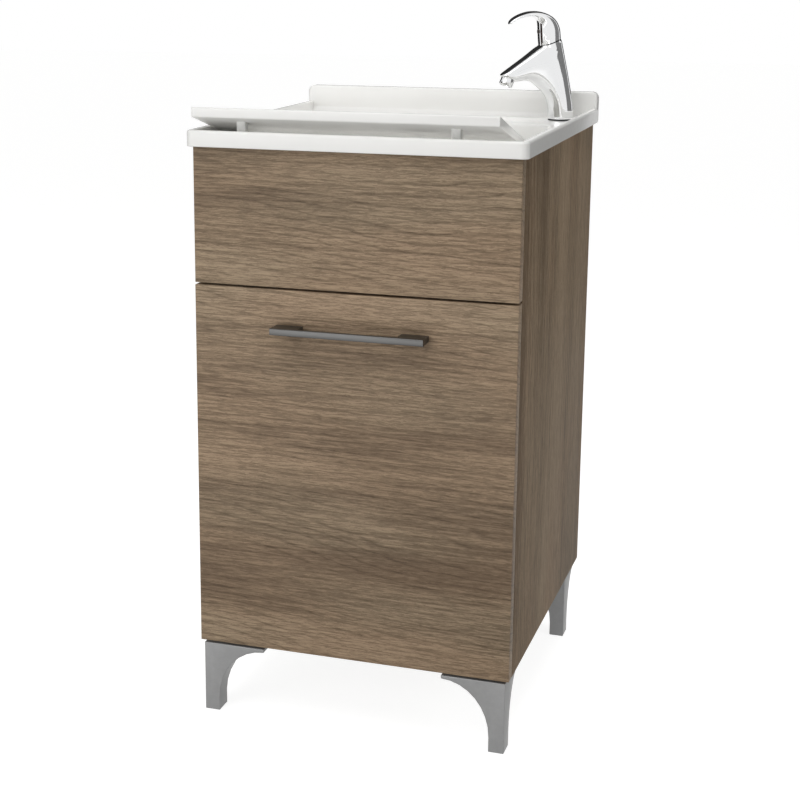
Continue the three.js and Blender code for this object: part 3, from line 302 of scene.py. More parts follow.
def wood(name, along, weights, offset, contrast=0.85, gloss=0.2):
    """Wood grain along one axis, with growth rings stacked along the weighted direction."""
    colours = settings().colours
    made = Nodes(name)

    def clouded(by_length, by_width, **more):
        scale = lengthwise(by_length, by_width, along)
        return made.cloud(made.stretched(made.place, scale, offset), **more)

    def waves(cloud, height):
        return made.math("MULTIPLY", made.math("SUBTRACT", cloud, 0.5), height)

    def stepped(value, low, high):
        return made.ramp(value, [(low, (0, 0, 0)), (high, (1, 1, 1))])

    def dark_at(value, low, high, depth):
        return made.ramp(value, [(low, (depth, depth * 0.98, depth * 0.96)), (high, (1, 1, 1))])

    ripple = waves(clouded(16, 60), 0.8)
    flow = waves(clouded(1.3, 4, detail=1), 14)
    swirl = waves(clouded(3, 14, detail=2), 2.4)
    across = made.math("MULTIPLY", made.dot(made.place, weights), RINGS_PER_METRE)
    phase = made.math("ADD", made.math("ADD", across, flow), made.math("ADD", swirl, ripple))
    ring = made.math("FRACT", phase)
    broad = clouded(0.9, 11, detail=3, roughness=0.5)
    patch = clouded(3, 20, detail=2)
    hue = clouded(2.2, 8, detail=1)
    streaks = clouded(6, 240, detail=5, roughness=0.75)
    fibres = clouded(45, 560, detail=4, roughness=0.85, distortion=0.6)
    tone = made.math(
        "ADD", made.math("MULTIPLY", broad, BROAD_SHARE),
        made.math("MULTIPLY", streaks, 1 - BROAD_SHARE))
    base = made.ramp(tone, [
        (0.4, colours.wood_dark),
        (0.5, colours.wood_mid),
        (0.61, colours.wood_light),
    ])
    warm = made.mix(1.0, base, (1.03, 0.99, 0.975, 1), "MULTIPLY")
    tinted = made.mix(stepped(hue, 0.42, 0.58), base, warm)
    rings = made.ramp(ring, [
        (0.0, (0.58, 0.57, 0.56)),
        (0.07, (0.79, 0.78, 0.77)),
        (0.17, (1, 1, 1)),
        (0.86, (1, 1, 1)),
        (1.0, (0.67, 0.66, 0.65)),
    ])
    seen = made.math("MULTIPLY", stepped(patch, 0.36, 0.52), contrast)
    lined = made.mix(seen, tinted, rings, "MULTIPLY")
    lined = made.mix(contrast, lined, dark_at(streaks, 0.42, 0.52, 0.78), "MULTIPLY")
    made.set(Base_Color=made.mix(contrast, lined, dark_at(fibres, 0.44, 0.56, 0.54), "MULTIPLY"))
    made.set(Roughness=made.between(streaks, 0.5, 0.62), Specular_IOR_Level=gloss)
    made.bump(made.math("ADD", fibres, streaks), GRAIN_DEPTH, 0.5)
    return made.material


def plain(name, value, rough=(0.3, 0.4), metal=0.0, scale=60, spread=0.04, depth=0.00004):
    """One finish with slight clouds in its colour and roughness."""
    made = Nodes(name)
    cloud = made.cloud(made.place, scale=scale, detail=4)
    low, high = CLOUD_SPAN
    tone = made.ramp(cloud, [(low, shaded(value, 1 - spread)), (high, shaded(value, 1 + spread))])
    made.set(Base_Color=tone, Roughness=made.between(cloud, *rough), Metallic=metal)
    made.bump(made.cloud(made.place, scale=scale * 12, detail=2), depth, 0.4)
    return made.material


def brushed(name, value, along, rough=(0.25, 0.4), metal=0.9):
    """Metal with fine lines along one axis."""
    made = Nodes(name)
    lines = made.cloud(made.stretched(made.place, lengthwise(12.0, 900.0, along)), detail=3)
    made.set(Base_Color=made.ramp(lines, [(0.25, shaded(value, 0.9)), (0.75, shaded(value, 1.08))]))
    made.set(Roughness=made.between(lines, *rough), Metallic=metal)
    made.bump(lines, 0.00003, 0.5)
    return made.material


def marbled(name, value):
    """Glossy white with very faint clouds and a thin clear coat."""
    made = Nodes(name)
    broad = made.cloud(made.place, scale=9, detail=3)
    small = made.cloud(made.place, scale=260, detail=2)
    tone = made.ramp(broad, [(0.3, shaded(value, 0.985)), (0.7, shaded(value, 1.01))])
    made.set(Base_Color=tone, Roughness=made.between(small, 0.2, 0.26), Specular_IOR_Level=0.4)
    made.set(Coat_Weight=0.25, Coat_Roughness=0.08)
    made.bump(broad, 0.00015, 0.25)
    return made.material


def make_materials():
    colours = settings().colours
    return {
        "wood": wood("wood_across", 0, (0.05, 0.2, 1), (0.3, 0.7, 0.2)),
        "wood_upright": wood("wood_upright", 2, (0.4, 1, 0.02), (0.9, 0.1, 0.5), 0.75, 0.03),
        "inner_board": plain("inner_board", colours.board, (0.55, 0.68), scale=35, spread=0.03),
        "white_acrylic": marbled("white_acrylic", colours.white),
        "leg_metal": plain("leg_metal", colours.leg, (0.4, 0.48), 0.35, 120, 0.05),
        "handle_metal": brushed("handle_metal", colours.handle, 0, (0.28, 0.4)),
        "chrome": plain("chrome", colours.chrome, (0.03, 0.06), 1.0, 40, 0.015, 0.00001),
        "steel": brushed("steel", colours.steel, 2),
        "plastic": plain("plastic", colours.plastic, (0.32, 0.42), 0, 90, 0.03),
        "rubber": plain("rubber", colours.rubber, (0.6, 0.78), 0, 150, 0.25, 0.0001),
        "basket_plastic": plain("basket_plastic", colours.basket, (0.4, 0.5), 0, 70, 0.03, 0.00008),
        # Feet under the washboard, their colour darkened below the white as painted shade to match the shaded
        # underside.
        "pad": plain("pad", colours.pad, (0.5, 0.6), 0, 120, 0.08),
        "mark": plain("mark", colours.mark, (0.45, 0.55), 0, 90, 0.1),
    }


# ---------------- mesh helpers

def ringed(rings, closed_row=False):
    """A bmesh skin over rings of equal length, capped at both ends unless the row closes on itself."""
    skin = bmesh.new()
    rows = [[skin.verts.new(point) for point in ring] for ring in rings]
    count = len(rows[0])
    pairs = list(zip(rows, rows[1:]))
    if closed_row:
        pairs.append((rows[-1], rows[0]))
    for low, high in pairs:
        for i in range(count):
            j = (i + 1) % count
            skin.faces.new((low[i], low[j], high[j], high[i]))
    if not closed_row:
        skin.faces.new(rows[0])
        skin.faces.new(rows[-1])
    bmesh.ops.remove_doubles(skin, verts=skin.verts, dist=1e-6)
    bmesh.ops.recalc_face_normals(skin, faces=skin.faces)
    return skin


def to_mesh(skin, name):
    mesh = bpy.data.meshes.new(name)
    skin.to_mesh(mesh)
    skin.free()
    return mesh


def smooth(mesh, angle=32):
    for face in mesh.polygons:
        face.use_smooth = True
    mesh.set_sharp_from_angle(angle=math.radians(angle))


def shown(name, mesh):
    thing = bpy.data.objects.new(name, mesh)
    bpy.context.scene.collection.objects.link(thing)
    return thing


def baked(thing, name):
    """The object's evaluated mesh as a plain one; the object is removed."""
    bpy.context.view_layer.update()
    graph = bpy.context.evaluated_depsgraph_get()
    mesh = bpy.data.meshes.new_from_object(thing.evaluated_get(graph), depsgraph=graph)
    bpy.data.objects.remove(thing)
    mesh.name = name
    return mesh


def bevelled(mesh, width, segments=3, angle=35):
    thing = shown("bevelled", mesh)
    bevel = thing.modifiers.new("bevel", "BEVEL")
    bevel.width = width
    bevel.segments = segments
    bevel.limit_method = "ANGLE"
    bevel.angle_limit = math.radians(angle)
    return baked(thing, mesh.name)


def joined(meshes, name):
    whole = bmesh.new()
    for mesh in meshes:
        whole.from_mesh(mesh)
    return to_mesh(whole, name)


def clean_copy(node):
    """The node's mesh with shared corners and flat faces in one piece."""
    skin = bmesh.new()
    skin.from_mesh(NODES[node].data)
    bmesh.ops.remove_doubles(skin, verts=skin.verts, dist=2e-6)
    bmesh.ops.dissolve_limit(
        skin, angle_limit=math.radians(0.4), verts=skin.verts, edges=skin.edges)
    return to_mesh(skin, node + "_form")


def fit_out(thing, nodes, material):
    """Gives a finished piece its material and body, and hides the nodes that it stands for."""
    thing.data.materials.clear()
    thing.data.materials.append(material)
    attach(thing, BODIES[nodes[0]])
    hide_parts(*nodes)
    return thing


def refined(node, material, width, segments=3, angle=35, sharp=32):
    """A copy of the node with rounded edges and smooth curves."""
    mesh = bevelled(clean_copy(node), width, segments, angle)
    smooth(mesh, sharp)
    return fit_out(shown(node + "_finished", mesh), [node], material)


def painted(node, material):
    """The node itself, with a better material."""
    mesh = NODES[node].data
    mesh.materials.clear()
    mesh.materials.append(material)


def rounded(x0, x1, y0, y1, radius, z, steps=10):
    """A level rounded rectangle with the same number of points whatever its size."""
    radius = max(radius, 1e-5)
    corners = [
        (x1 - radius, y0 + radius, -90),
        (x1 - radius, y1 - radius, 0),
        (x0 + radius, y1 - radius, 90),
        (x0 + radius, y0 + radius, 180),
    ]
    points = []
    for cx, cy, start in corners:
        for step in range(steps + 1):
            angle = math.radians(start + 90 * step / steps)
            points.append(Vector((cx + radius * math.cos(angle), cy + radius * math.sin(angle), z)))
    return points


def turns(count):
    """Angles all round, in equal steps."""
    return [2 * math.pi * i / count for i in range(count)]


def quarter(steps):
    """Sine and one minus cosine over a quarter turn."""
    return [
        (math.sin(math.radians(90 * i / steps)), 1 - math.cos(math.radians(90 * i / steps)))
        for i in range(steps + 1)
    ]


def extruded(outline, axis, start, end, name):
    """A closed prism over an outline drawn across one axis."""
    def place(p, q, along):
        return {"x": (along, p, q), "y": (p, along, q), "z": (p, q, along)}[axis]
    rings = [[Vector(place(p, q, along)) for p, q in outline] for along in (start, end)]
    return to_mesh(ringed(rings), name)


# ---------------- sink top

CORNER_STEPS = 8  # of the upstand's upper corners


def top_rings():
    """Rings of the sink top, from its lower outer edge over the lip and bowl to its underside."""
    sizes = settings().sizes
    low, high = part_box("sink_top")
    front, rear, half = low.y, high.y, high.x
    rim = high.z - sizes.upstand_height
    deck = rim - sizes.lip_height
    centre = sum((Vector(corner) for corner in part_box("plug")), Vector()) / 2
    bottom = max(corner.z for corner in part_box("side_panel_left")) + sizes.gap

    def outer(inset, z):
        radius = sizes.corner_radius - inset
        back = rear - sizes.gap - inset  # just inside the upstand
        return rounded(-half + inset, half - inset, front + inset, back, radius, z)

    def inner(grow, z):
        edge = sizes.lip_width - grow
        radius = sizes.corner_radius - sizes.lip_width / 2 + grow
        back = rear - sizes.upstand_width / 2 + min(grow, 0)
        return rounded(-half + edge, half - edge, front + edge, back, radius, z)

    def bowl(inset, z, wall=0.0):
        side = sizes.bowl_half_width - inset + wall
        return rounded(
            -side, side,
            front + sizes.bowl_front + inset - wall,
            rear - sizes.bowl_rear - inset + wall,
            sizes.bowl_corner - inset + wall, z)

    def circle(radius, z):
        return rounded(
            centre.x - radius, centre.x + radius, centre.y - radius, centre.y + radius, radius, z)

    rings = [outer(sizes.gap * 2, bottom), outer(0, bottom + sizes.gap * 2)]
    edge = sizes.lip_outer_round
    rings += [outer(edge * b, rim - edge + edge * a) for a, b in quarter(6)]
    edge = sizes.lip_inner_round
    rings += [inner(edge * (1 - a), rim - edge * b) for a, b in quarter(4)]
    edge = sizes.deck_fillet
    rings += [inner(-edge * b, deck + edge * (1 - a)) for a, b in quarter(4)]
    mouth = sizes.bowl_mouth
    rings += [bowl(-mouth * (1 - a), deck - mouth * b) for a, b in quarter(6)]
    bend = sizes.bowl_bend
    wall_foot = sizes.bowl_depth - bend
    for share in (0.25, 0.5, 0.75):
        rings.append(bowl(sizes.bowl_draft * share, deck - mouth - (wall_foot - mouth) * share))
    rings += [bowl(sizes.bowl_draft + bend * b, deck - wall_foot - bend * a) for a, b in quarter(10)]
    floor = deck - sizes.bowl_depth - sizes.bowl_fall
    flange = sizes.flange_radius + sizes.gap
    drain = sizes.drain_radius + sizes.gap * 2
    under = floor - sizes.shell
    rings += [
        circle(flange + sizes.gap * 2, floor),
        circle(flange, floor - sizes.gap),
        circle(flange, floor - sizes.flange_height),
        circle(drain, floor - sizes.flange_height),
        circle(drain, under - sizes.flange_height),
        circle(flange + sizes.shell, under - sizes.flange_height),
        circle(flange + sizes.shell, under),
    ]
    foot = deck - wall_foot
    rings += [
        bowl(sizes.bowl_draft + bend * b, foot - (bend + sizes.shell) * a, sizes.shell)
        for a, b in reversed(quarter(6))
    ]
    rings += [bowl(0, bottom, sizes.shell)]
    return rings


def upstand_meshes():
    """The rear upstand and the cove at its foot."""
    sizes = settings().sizes
    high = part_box("sink_top")[1]
    top, half, rear = high.z, high.x - sizes.gap, high.y
    deck = top - sizes.upstand_height - sizes.lip_height
    corner = sizes.upstand_corner
    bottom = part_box("side_panel_left")[1].z + 2 * sizes.gap
    outline = [(half, bottom)]
    for side, start in ((1, 0), (-1, 90)):
        for step in range(CORNER_STEPS + 1):
            angle = math.radians(start + 90 * step / CORNER_STEPS)
            outline.append((
                side * (half - corner) + corner * math.cos(angle),
                top - corner + corner * math.sin(angle),
            ))
    outline.append((-half, bottom))
    face = rear - sizes.upstand_width
    board = bevelled(extruded(outline, "y", face, rear, "upstand"), sizes.upstand_edge, 4)
    cove = sizes.upstand_cove
    curve = [(face - cove + cove * a, deck + cove * b) for a, b in quarter(6)]
    foot = [(face - cove, deck - sizes.shell / 2), *curve, (face + sizes.shell, deck + cove),
            (face + sizes.shell, deck - sizes.shell / 2)]
    inside = half - sizes.lip_width
    strip = extruded(foot, "x", -inside, inside, "cove")
    return [board, strip]


def make_sink_top(materials):
    top = to_mesh(ringed(top_rings(), closed_row=True), "top")
    mesh = joined([top, *upstand_meshes()], "sink_top_form")
    smooth(mesh, 30)
    fit_out(shown("sink_top_finished", mesh), ["sink_top"], materials["white_acrylic"])


# ---------------- washboard

# In millimetres.
WASHBOARD_UNDERSIDE = 16.5  # its front edge above the lip
WASHBOARD_REST = 26  # flat part that lies on the deck
WASHBOARD_TAIL = 3.6  # thickness of its rear edge
WASHBOARD_NOSE = 2.2  # rounding of its upper front corner
WASHBOARD_EDGE = 0.9  # rounding of its other edges
RIB_MARGIN = 22  # plain strip behind the front edge
RIB_ENDS = 10  # how much shorter than the board the ribs are
FOOT_NEAR = 22  # both from the front edge
FOOT_FAR = 32
FOOT_FROM_END = 60
FOOT_HALF_WIDTH = 6
FOOT_OVERLAP = 2  # into the board
FOOT_EDGE = 0.6

RIB_COUNT = 9
RIB_SIDES = 20
RIB_RADIUS = 0.32  # as a share of the pitch


def rib_tree(material):
    """A row of flattened round ribs, with their number, places and sizes as inputs."""
    tree = bpy.data.node_groups.new("washboard_ribs", "GeometryNodeTree")
    face = tree.interface
    face.new_socket("Geometry", in_out="OUTPUT", socket_type="NodeSocketGeometry")
    face.new_socket("Geometry", in_out="INPUT", socket_type="NodeSocketGeometry")
    names = {}
    for name, kind in (
        ("Count", "NodeSocketInt"), ("Step", "NodeSocketVector"), ("Start", "NodeSocketVector"),
        ("Length", "NodeSocketFloat"), ("Radius", "NodeSocketFloat"), ("Flatness", "NodeSocketFloat"),
    ):
        names[name] = face.new_socket(name, in_out="INPUT", socket_type=kind).identifier
    made = Tree(tree)
    given = made.new("NodeGroupInput").outputs
    line = made.new(
        "GeometryNodeMeshLine", Count=given["Count"], Start_Location=given["Start"],
        Offset=given["Step"])
    line.mode = "OFFSET"
    bar = made.new(
        "GeometryNodeMeshCylinder", Vertices=RIB_SIDES, Radius=given["Radius"],
        Depth=given["Length"])
    turn = made.new(
        "GeometryNodeTransform", Geometry=bar.outputs["Mesh"], Rotation=(0, math.pi / 2, 0))
    flat = made.new("ShaderNodeCombineXYZ", X=1, Y=1, Z=given["Flatness"])
    place = made.new(
        "GeometryNodeInstanceOnPoints", Points=line.outputs["Mesh"],
        Instance=turn.outputs["Geometry"], Scale=flat.outputs[0])
    real = made.new("GeometryNodeRealizeInstances", Geometry=place.outputs["Instances"])
    paint = made.new(
        "GeometryNodeSetMaterial", Geometry=real.outputs["Geometry"], Material=material)
    made.new("NodeGroupOutput", Geometry=paint.outputs["Geometry"])
    return tree, names


def grown(tree, names, values, name):
    """The plain mesh that a geometry tree makes from these values."""
    thing = shown("grown", bpy.data.meshes.new("seed"))
    modifier = thing.modifiers.new("grow", "NODES")
    modifier.node_group = tree
    for key, value in values.items():
        modifier[names[key]] = value
    return baked(thing, name)


def make_washboard(materials):
    sizes = settings().sizes
    low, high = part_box("washboard")
    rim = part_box("sink_top")[1].z - sizes.upstand_height
    under = rim + WASHBOARD_UNDERSIDE * MM
    rest = low.z
    tail = rest + WASHBOARD_TAIL * MM
    edge = WASHBOARD_NOSE * MM
    slope = math.atan2(high.z - tail, high.y - low.y)
    corner = [(low.y + edge * b, high.z - edge + edge * a) for a, b in quarter(4)]
    outline = [
        (low.y, under + edge / 2),
        *corner,
        (high.y, tail),
        (high.y, rest),
        (high.y - WASHBOARD_REST * MM, rest),
        (low.y + edge / 2, under),
    ]
    board = extruded(outline, "x", low.x, high.x, "board")
    board = bevelled(board, WASHBOARD_EDGE * MM, 3, 40)
    fall = (rest - under) / (high.y - low.y - WASHBOARD_REST * MM)
    overlap = FOOT_OVERLAP * MM
    feet = []
    for x in (low.x + FOOT_FROM_END * MM, high.x - FOOT_FROM_END * MM):
        near, far = FOOT_NEAR * MM, FOOT_FAR * MM
        foot = [
            (low.y + near, rest), (low.y + far, rest),
            (low.y + far, under + fall * far + overlap),
            (low.y + near, under + fall * near + overlap),
        ]
        half = FOOT_HALF_WIDTH * MM
        foot = extruded(foot, "x", x - half, x + half, "foot")
        feet.append(bevelled(foot, FOOT_EDGE * MM, 2, 40))
    tree, names = rib_tree(materials["white_acrylic"])
    radius = sizes.rib_pitch * RIB_RADIUS
    down = Vector((0, math.cos(slope), -math.sin(slope)))
    start = Vector(((low.x + high.x) / 2, low.y, high.z))
    start += down * (RIB_MARGIN * MM + sizes.rib_pitch / 2)
    ribs = grown(tree, names, {
        "Count": RIB_COUNT,
        "Step": down * sizes.rib_pitch,
        "Start": start,
        "Length": high.x - low.x - RIB_ENDS * MM,
        "Radius": radius,
        "Flatness": sizes.rib_height / radius,
    }, "ribs")
    mesh = joined([board, ribs], "washboard_form")
    smooth(mesh, 30)
    fit_out(shown("washboard_finished", mesh), ["washboard"], materials["white_acrylic"])
    stand = joined(feet, "washboard_feet_form")
    smooth(stand, 30)
    # The feet take the pad colour, which is darker than the white as painted shade so they blend into the shaded
    # underside.
    fit_out(shown("washboard_feet", stand), ["washboard"], materials["pad"])


# ---------------- tap

# Sections from the foot to the nose: back or top point, front or lower point and half width,
# in millimetres along the spout and above the foot.
BODY_SECTIONS = [
    ((-20, 0), (20, 0), 20),
    ((-17.2, 12), (20.2, 10), 19.4),
    ((-14.2, 25), (21.2, 19), 18.8),
    ((-10.6, 40), (23.6, 27), 18.2),
    ((-6.9, 56), (27.2, 33.6), 17.7),
    ((-2.8, 74), (31.8, 39.2), 17.3),
    ((1.2, 91), (36.4, 43), 17.1),
    ((4.6, 105.6), (40.4, 46), 17),
    ((7.8, 116), (43.6, 48.6), 17),
    ((14, 114.9), (46.6, 51), 16.8),
    ((24, 111.3), (49.6, 53.2), 16.4),
    ((34, 107.7), (52.6, 54.8), 15.8),
    ((43.4, 102.9), (56.4, 56), 14.9),
    ((53.4, 95.9), (61.6, 56.4), 13.8),
    ((64, 88.6), (67.2, 56), 13),
    ((75, 81.4), (73.6, 55.2), 12.4),
    ((85, 74.8), (80.6, 55.2), 11.9),
    ((92.4, 69.9), (87, 57), 11),
    ((97, 66.8), (92.6, 60), 8.6),
    ((99.2, 64.9), (97.2, 62.6), 4.4),
]
LEVER_SECTIONS = [
    ((7.4, 117.2), (39, 106), 17),
    ((8, 121), (39.6, 110.6), 17),
    ((8.7, 125.4), (40.1, 115.8), 16.9),
    ((9.9, 130.2), (40.6, 121.4), 16.7),
    ((12, 135.4), (41, 127.2), 16.2),
    ((15.4, 140.7), (41.4, 132.8), 15.5),
    ((20.8, 145.9), (42.1, 137.9), 14.6),
    ((28.6, 150.3), (43.6, 141.9), 13.6),
    ((37.5, 153.3), (46.7, 144.6), 12.6),
    ((47, 154.8), (51.2, 146), 11.8),
    ((57, 154.4), (57.4, 146.4), 11),
    ((66, 152.4), (64.6, 145.8), 10.2),
    ((74.4, 149.3), (71.8, 144.2), 9.3),
    ((81.2, 145.7), (78, 141.8), 8.1),
    ((86, 141.9), (82.8, 139), 6.6),
    ((88.2, 138.6), (85.6, 136.8), 4.6),
    ((88.4, 136.8), (87, 136), 2.2),
]

# In millimetres, as are all lengths of the tap.
FOOT_GAP = 0.3  # between the gasket and the body
NECK_RADIUS = 17
NECK_LEVELS = (12, 8, 4, 0.4, 0)  # below the head's lower edge
SEAT_RADIUS = 22.9  # clears the lever's foot when it lifts
BALL_RADIUS = 21.9
HEAD_BELOW_PIVOT = 14
AERATOR_EDGE = 0.3
CAP_OUT = 41.4  # front of the coloured cap, from the tap's foot
CAP_HEIGHT = 126
CAP_RADIUS = 3.6
CAP_RINGS = ((-3, 0), (0, 0), (0.3, 0.5))  # place from that front, and how much narrower
BLEND_CELL = 0.9  # cell of the remesh that blends the body and the neck
BLEND_PASSES = 14  # smoothing passes after it

# How flat a section is towards its first point, where 2 is round: at the foot, and how much more
# above it.
BODY_RIDGE = 2
BODY_RIDGE_MORE = 1.3
LEVER_RIDGE = 2.25
LEVER_RIDGE_MORE = 0.35
ROUND_SECTIONS = 14  # over which it grows
SECOND_RIDGE = 2.1  # towards the second point

SECTION_STEPS = 64
HEAD_STEPS = 48
CAP_STEPS = 40


class TapPlace:
    """From the tap's side view, in millimetres, to the row frame."""

    def __init__(self):
        low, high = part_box("tap_gasket")
        self.foot = Vector(((low.x + high.x) / 2, (low.y + high.y) / 2, high.z + FOOT_GAP * MM))
        lift = Vector(JOINTS["lever_lift"]["axis"])
        self.across = -lift
        self.out = self.across.cross(Vector((0, 0, 1)))
        self.pivot = Vector(JOINTS["lever_lift"]["pos_m"])
        self.axis = Vector(JOINTS["lever_turn"]["axis"])
        self.square = self.axis.orthogonal().normalized()
        self.other = self.axis.cross(self.square)

    def point(self, out, side, up):
        return self.foot + (self.out * out + self.across * side + Vector((0, 0, up))) * MM

    def head_ring(self, below, radius):
        """A circle about the head's axis, below the lift pin."""
        centre = self.pivot - self.axis * below * MM
        return [
            centre + (self.square * math.cos(a) + self.other * math.sin(a)) * radius * MM
            for a in turns(HEAD_STEPS)
        ]

    def section(self, first, second, half, ridge):
        """A section between two points of the side view, flatter towards the first as ridge grows."""
        points = []
        for angle in turns(SECTION_STEPS):
            c, s = math.cos(angle), math.sin(angle)
            power = 2 / (ridge if c > 0 else SECOND_RIDGE)
            share = (1 + math.copysign(abs(c) ** power, c)) / 2
            side = half * math.copysign(abs(s) ** power, s)
            out = second[0] + (first[0] - second[0]) * share
            up = second[1] + (first[1] - second[1]) * share
            points.append(self.point(out, side, up))
        return points

    def skin(self, sections, parts, ridge, more, name):
        """The mesh over smooth curves through the sections."""
        rows = [
            self.section(*row, ridge + more * min(1, i / ROUND_SECTIONS))
            for i, row in enumerate(spread(sections, parts))
        ]
        return to_mesh(ringed(rows), name)


def spread(sections, parts):
    """More sections on smooth curves through the given ones."""
    flat = [(*first, *second, half) for first, second, half in sections]
    rows = []
    last = len(flat) - 1
    for k in range(last):
        before, here, there, after = (flat[min(max(k + i, 0), last)] for i in (-1, 0, 1, 2))
        for step in range(parts):
            t = step / parts
            rows.append([
                0.5 * (2 * b + (c - a) * t + (2 * a - 5 * b + 4 * c - d) * t * t
                       + (3 * b - a - 3 * c + d) * t ** 3)
                for a, b, c, d in zip(before, here, there, after)
            ])
    rows.append(flat[-1])
    return [((row[0], row[1]), (row[2], row[3]), row[4]) for row in rows]


def dome(place, radius, limit, name, steps=24):
    """The part of a ball about the lift pin that lies lower than a limit below it."""
    rows = []
    for step in range(steps + 1):
        depth = radius - (radius - limit) * step / steps
        rows.append(place.head_ring(depth, math.sqrt(max(radius ** 2 - depth ** 2, 1e-4))))
    return to_mesh(ringed(rows), name)


def ball(centre, radius, name):
    skin = bmesh.new()
    bmesh.ops.create_uvsphere(
        skin, u_segments=96, v_segments=48, radius=radius, matrix=Matrix.Translation(centre))
    return to_mesh(skin, name)


def make_tap_body(place):
    body = place.skin(BODY_SECTIONS, 3, BODY_RIDGE, BODY_RIDGE_MORE, "body")
    rows = [place.head_ring(HEAD_BELOW_PIVOT + below, NECK_RADIUS) for below in NECK_LEVELS]
    neck = to_mesh(ringed(rows), "neck")
    thing = shown("tap_form", joined([body, neck], "tap_form"))
    remesh = thing.modifiers.new("blend", "REMESH")
    remesh.mode = "VOXEL"
    remesh.voxel_size = BLEND_CELL * MM
    soften = thing.modifiers.new("soften", "SMOOTH")
    soften.factor = 0.5
    soften.iterations = BLEND_PASSES
    blended = baked(thing, "tap_blended")
    cutter = shown("seat_tool", ball(place.pivot, SEAT_RADIUS * MM, "seat_tool"))
    thing = shown("tap_blended", blended)
    seat = thing.modifiers.new("seat", "BOOLEAN")
    seat.operation = "DIFFERENCE"
    seat.solver = "EXACT"
    seat.object = cutter
    mesh = baked(thing, "tap_body_form")
    bpy.data.objects.remove(cutter)
    return mesh


def make_tap(materials):
    place = TapPlace()
    mesh = make_tap_body(place)
    smooth(mesh, 50)
    fit_out(shown("tap_body_finished", mesh), ["tap_body"], materials["chrome"])
    grip = place.skin(LEVER_SECTIONS, 4, LEVER_RIDGE, LEVER_RIDGE_MORE, "grip")
    cap = dome(place, BALL_RADIUS, HEAD_BELOW_PIVOT, "cap")
    mesh = joined([grip, cap], "lever_form")
    smooth(mesh, 40)
    fit_out(shown("lever_finished", mesh), ["lever"], materials["chrome"])
    refined("aerator", materials["chrome"], AERATOR_EDGE * MM, segments=2, angle=50, sharp=40)
    rows = []
    for further, narrower in CAP_RINGS:
        out, radius = CAP_OUT + further, CAP_RADIUS - narrower
        rows.append([
            place.point(out, radius * math.cos(a), CAP_HEIGHT + radius * math.sin(a))
            for a in turns(CAP_STEPS)
        ])
    mesh = to_mesh(ringed(rows), "index_cap_form")
    smooth(mesh, 30)
    fit_out(shown("index_cap_finished", mesh), ["index_cap"], materials["mark"])
    painted("tap_gasket", materials["rubber"])


# ---------------- other pieces

def both(*names):
    """The left and the right piece of each name."""
    return [name + side for name in names for side in ("_left", "_right")]


BOARDS = ("front_fascia", "door_panel", *both("side_panel"))
INNER_BOARDS = ("bottom_panel", "back_panel", "front_rail_upper", "front_rail_lower", "rear_rail")
LEGS = both("leg_front", "leg_rear")
ROUND_PIECES = (
    "trap_body", "trap_cup", "trap_nut", "outlet_pipe", "outlet_nut", "wall_rosette", "strainer",
    "waste_nut", "tail_pipe", "tail_nut", "plug", "waste_gasket",
)
FITTINGS = (
    *both("hinge_leaf", "hinge_bracket", "hinge_pin", "basket_hook"), "magnet_catch", "strike_plate",
    *both("top_bracket", "handle_screw", "leg_screw_front", "leg_screw_rear"), "tap_washer", "tap_nut",
)
PAINTED = ("cartridge", "cartridge_stem", "lever_pin", "tap_stud", *both("inlet_tail"))
INNER_EDGE = 0.6  # rounding of the inner boards, as a share of the outer ones'
BASKET_EDGE = 0.7  # in millimetres
ROUND_EDGE = 0.4


def make_boards(materials):
    edge = settings().sizes.board_edge
    for node in BOARDS:
        upright = node.startswith("side")
        refined(node, materials["wood_upright" if upright else "wood"], edge)
    for node in INNER_BOARDS:
        refined(node, materials["inner_board"], edge * INNER_EDGE, segments=2)


def make_legs(materials):
    for node in LEGS:
        refined(node, materials["leg_metal"], settings().sizes.leg_edge, angle=50, sharp=30)


def make_handle(materials):
    edge = settings().sizes.handle_edge
    refined("door_handle", materials["handle_metal"], edge, angle=50, sharp=30)


def make_basket(materials):
    edge = BASKET_EDGE * MM
    refined("laundry_basket", materials["basket_plastic"], edge, segments=2, angle=50, sharp=30)


def make_waste(materials):
    for node in ROUND_PIECES:
        refined(node, materials[SLOTS[node]], ROUND_EDGE * MM, segments=2, angle=40, sharp=35)


def make_fittings(materials):
    edge = settings().sizes.metal_edge
    for node in FITTINGS:
        refined(node, materials[SLOTS[node]], edge, segments=2, angle=50, sharp=35)
    for node in PAINTED:
        painted(node, materials[SLOTS[node]])


# ---------------- stage

# In metres, in the row frame.
FLOOR_SIZE = 30
FLOOR_DROP = 0.0004
FLOOR_COLOUR = (0.42, 0.42, 0.415)
# Place, target, width and height of each lamp, and whether polished metal shows it.
LAMPS = (
    ("key", (-1.3, -2.9, 1.45), (0, 0, 0.65), (2.4, 1.6), True),
    ("bounce", (-0.5, -2.1, 0.12), (0, -0.1, 0.8), (3.0, 0.8), True),
    ("fill", (-0.2, -1.3, 2.7), (0, 0, 0.7), (2.0, 1.6), True),
    ("side", (2.2, -0.5, 1.5), (0.2, 0, 0.85), (1.0, 0.8), False),
    ("rear", (0.0, 0.7, 2.3), (0, -0.1, 0.7), (1.6, 1.2), False),
)
# Colour, place, turn in degrees, width and height of each card.
CARDS = (
    ("card_left", (0.02, 0.02, 0.02), (-1.35, 0.9, 1.1), 50, (1.1, 1.7)),
    ("card_right", (0.02, 0.02, 0.02), (0.75, 1.3, 1.1), -30, (0.8, 1.7)),
    ("card_side", (0.3, 0.3, 0.3), (1.6, 0.3, 1.1), -80, (1.3, 1.7)),
    ("card_brown", (0.07, 0.045, 0.035), (-1.2, -0.25, 0.72), 90, (0.7, 0.5)),
)
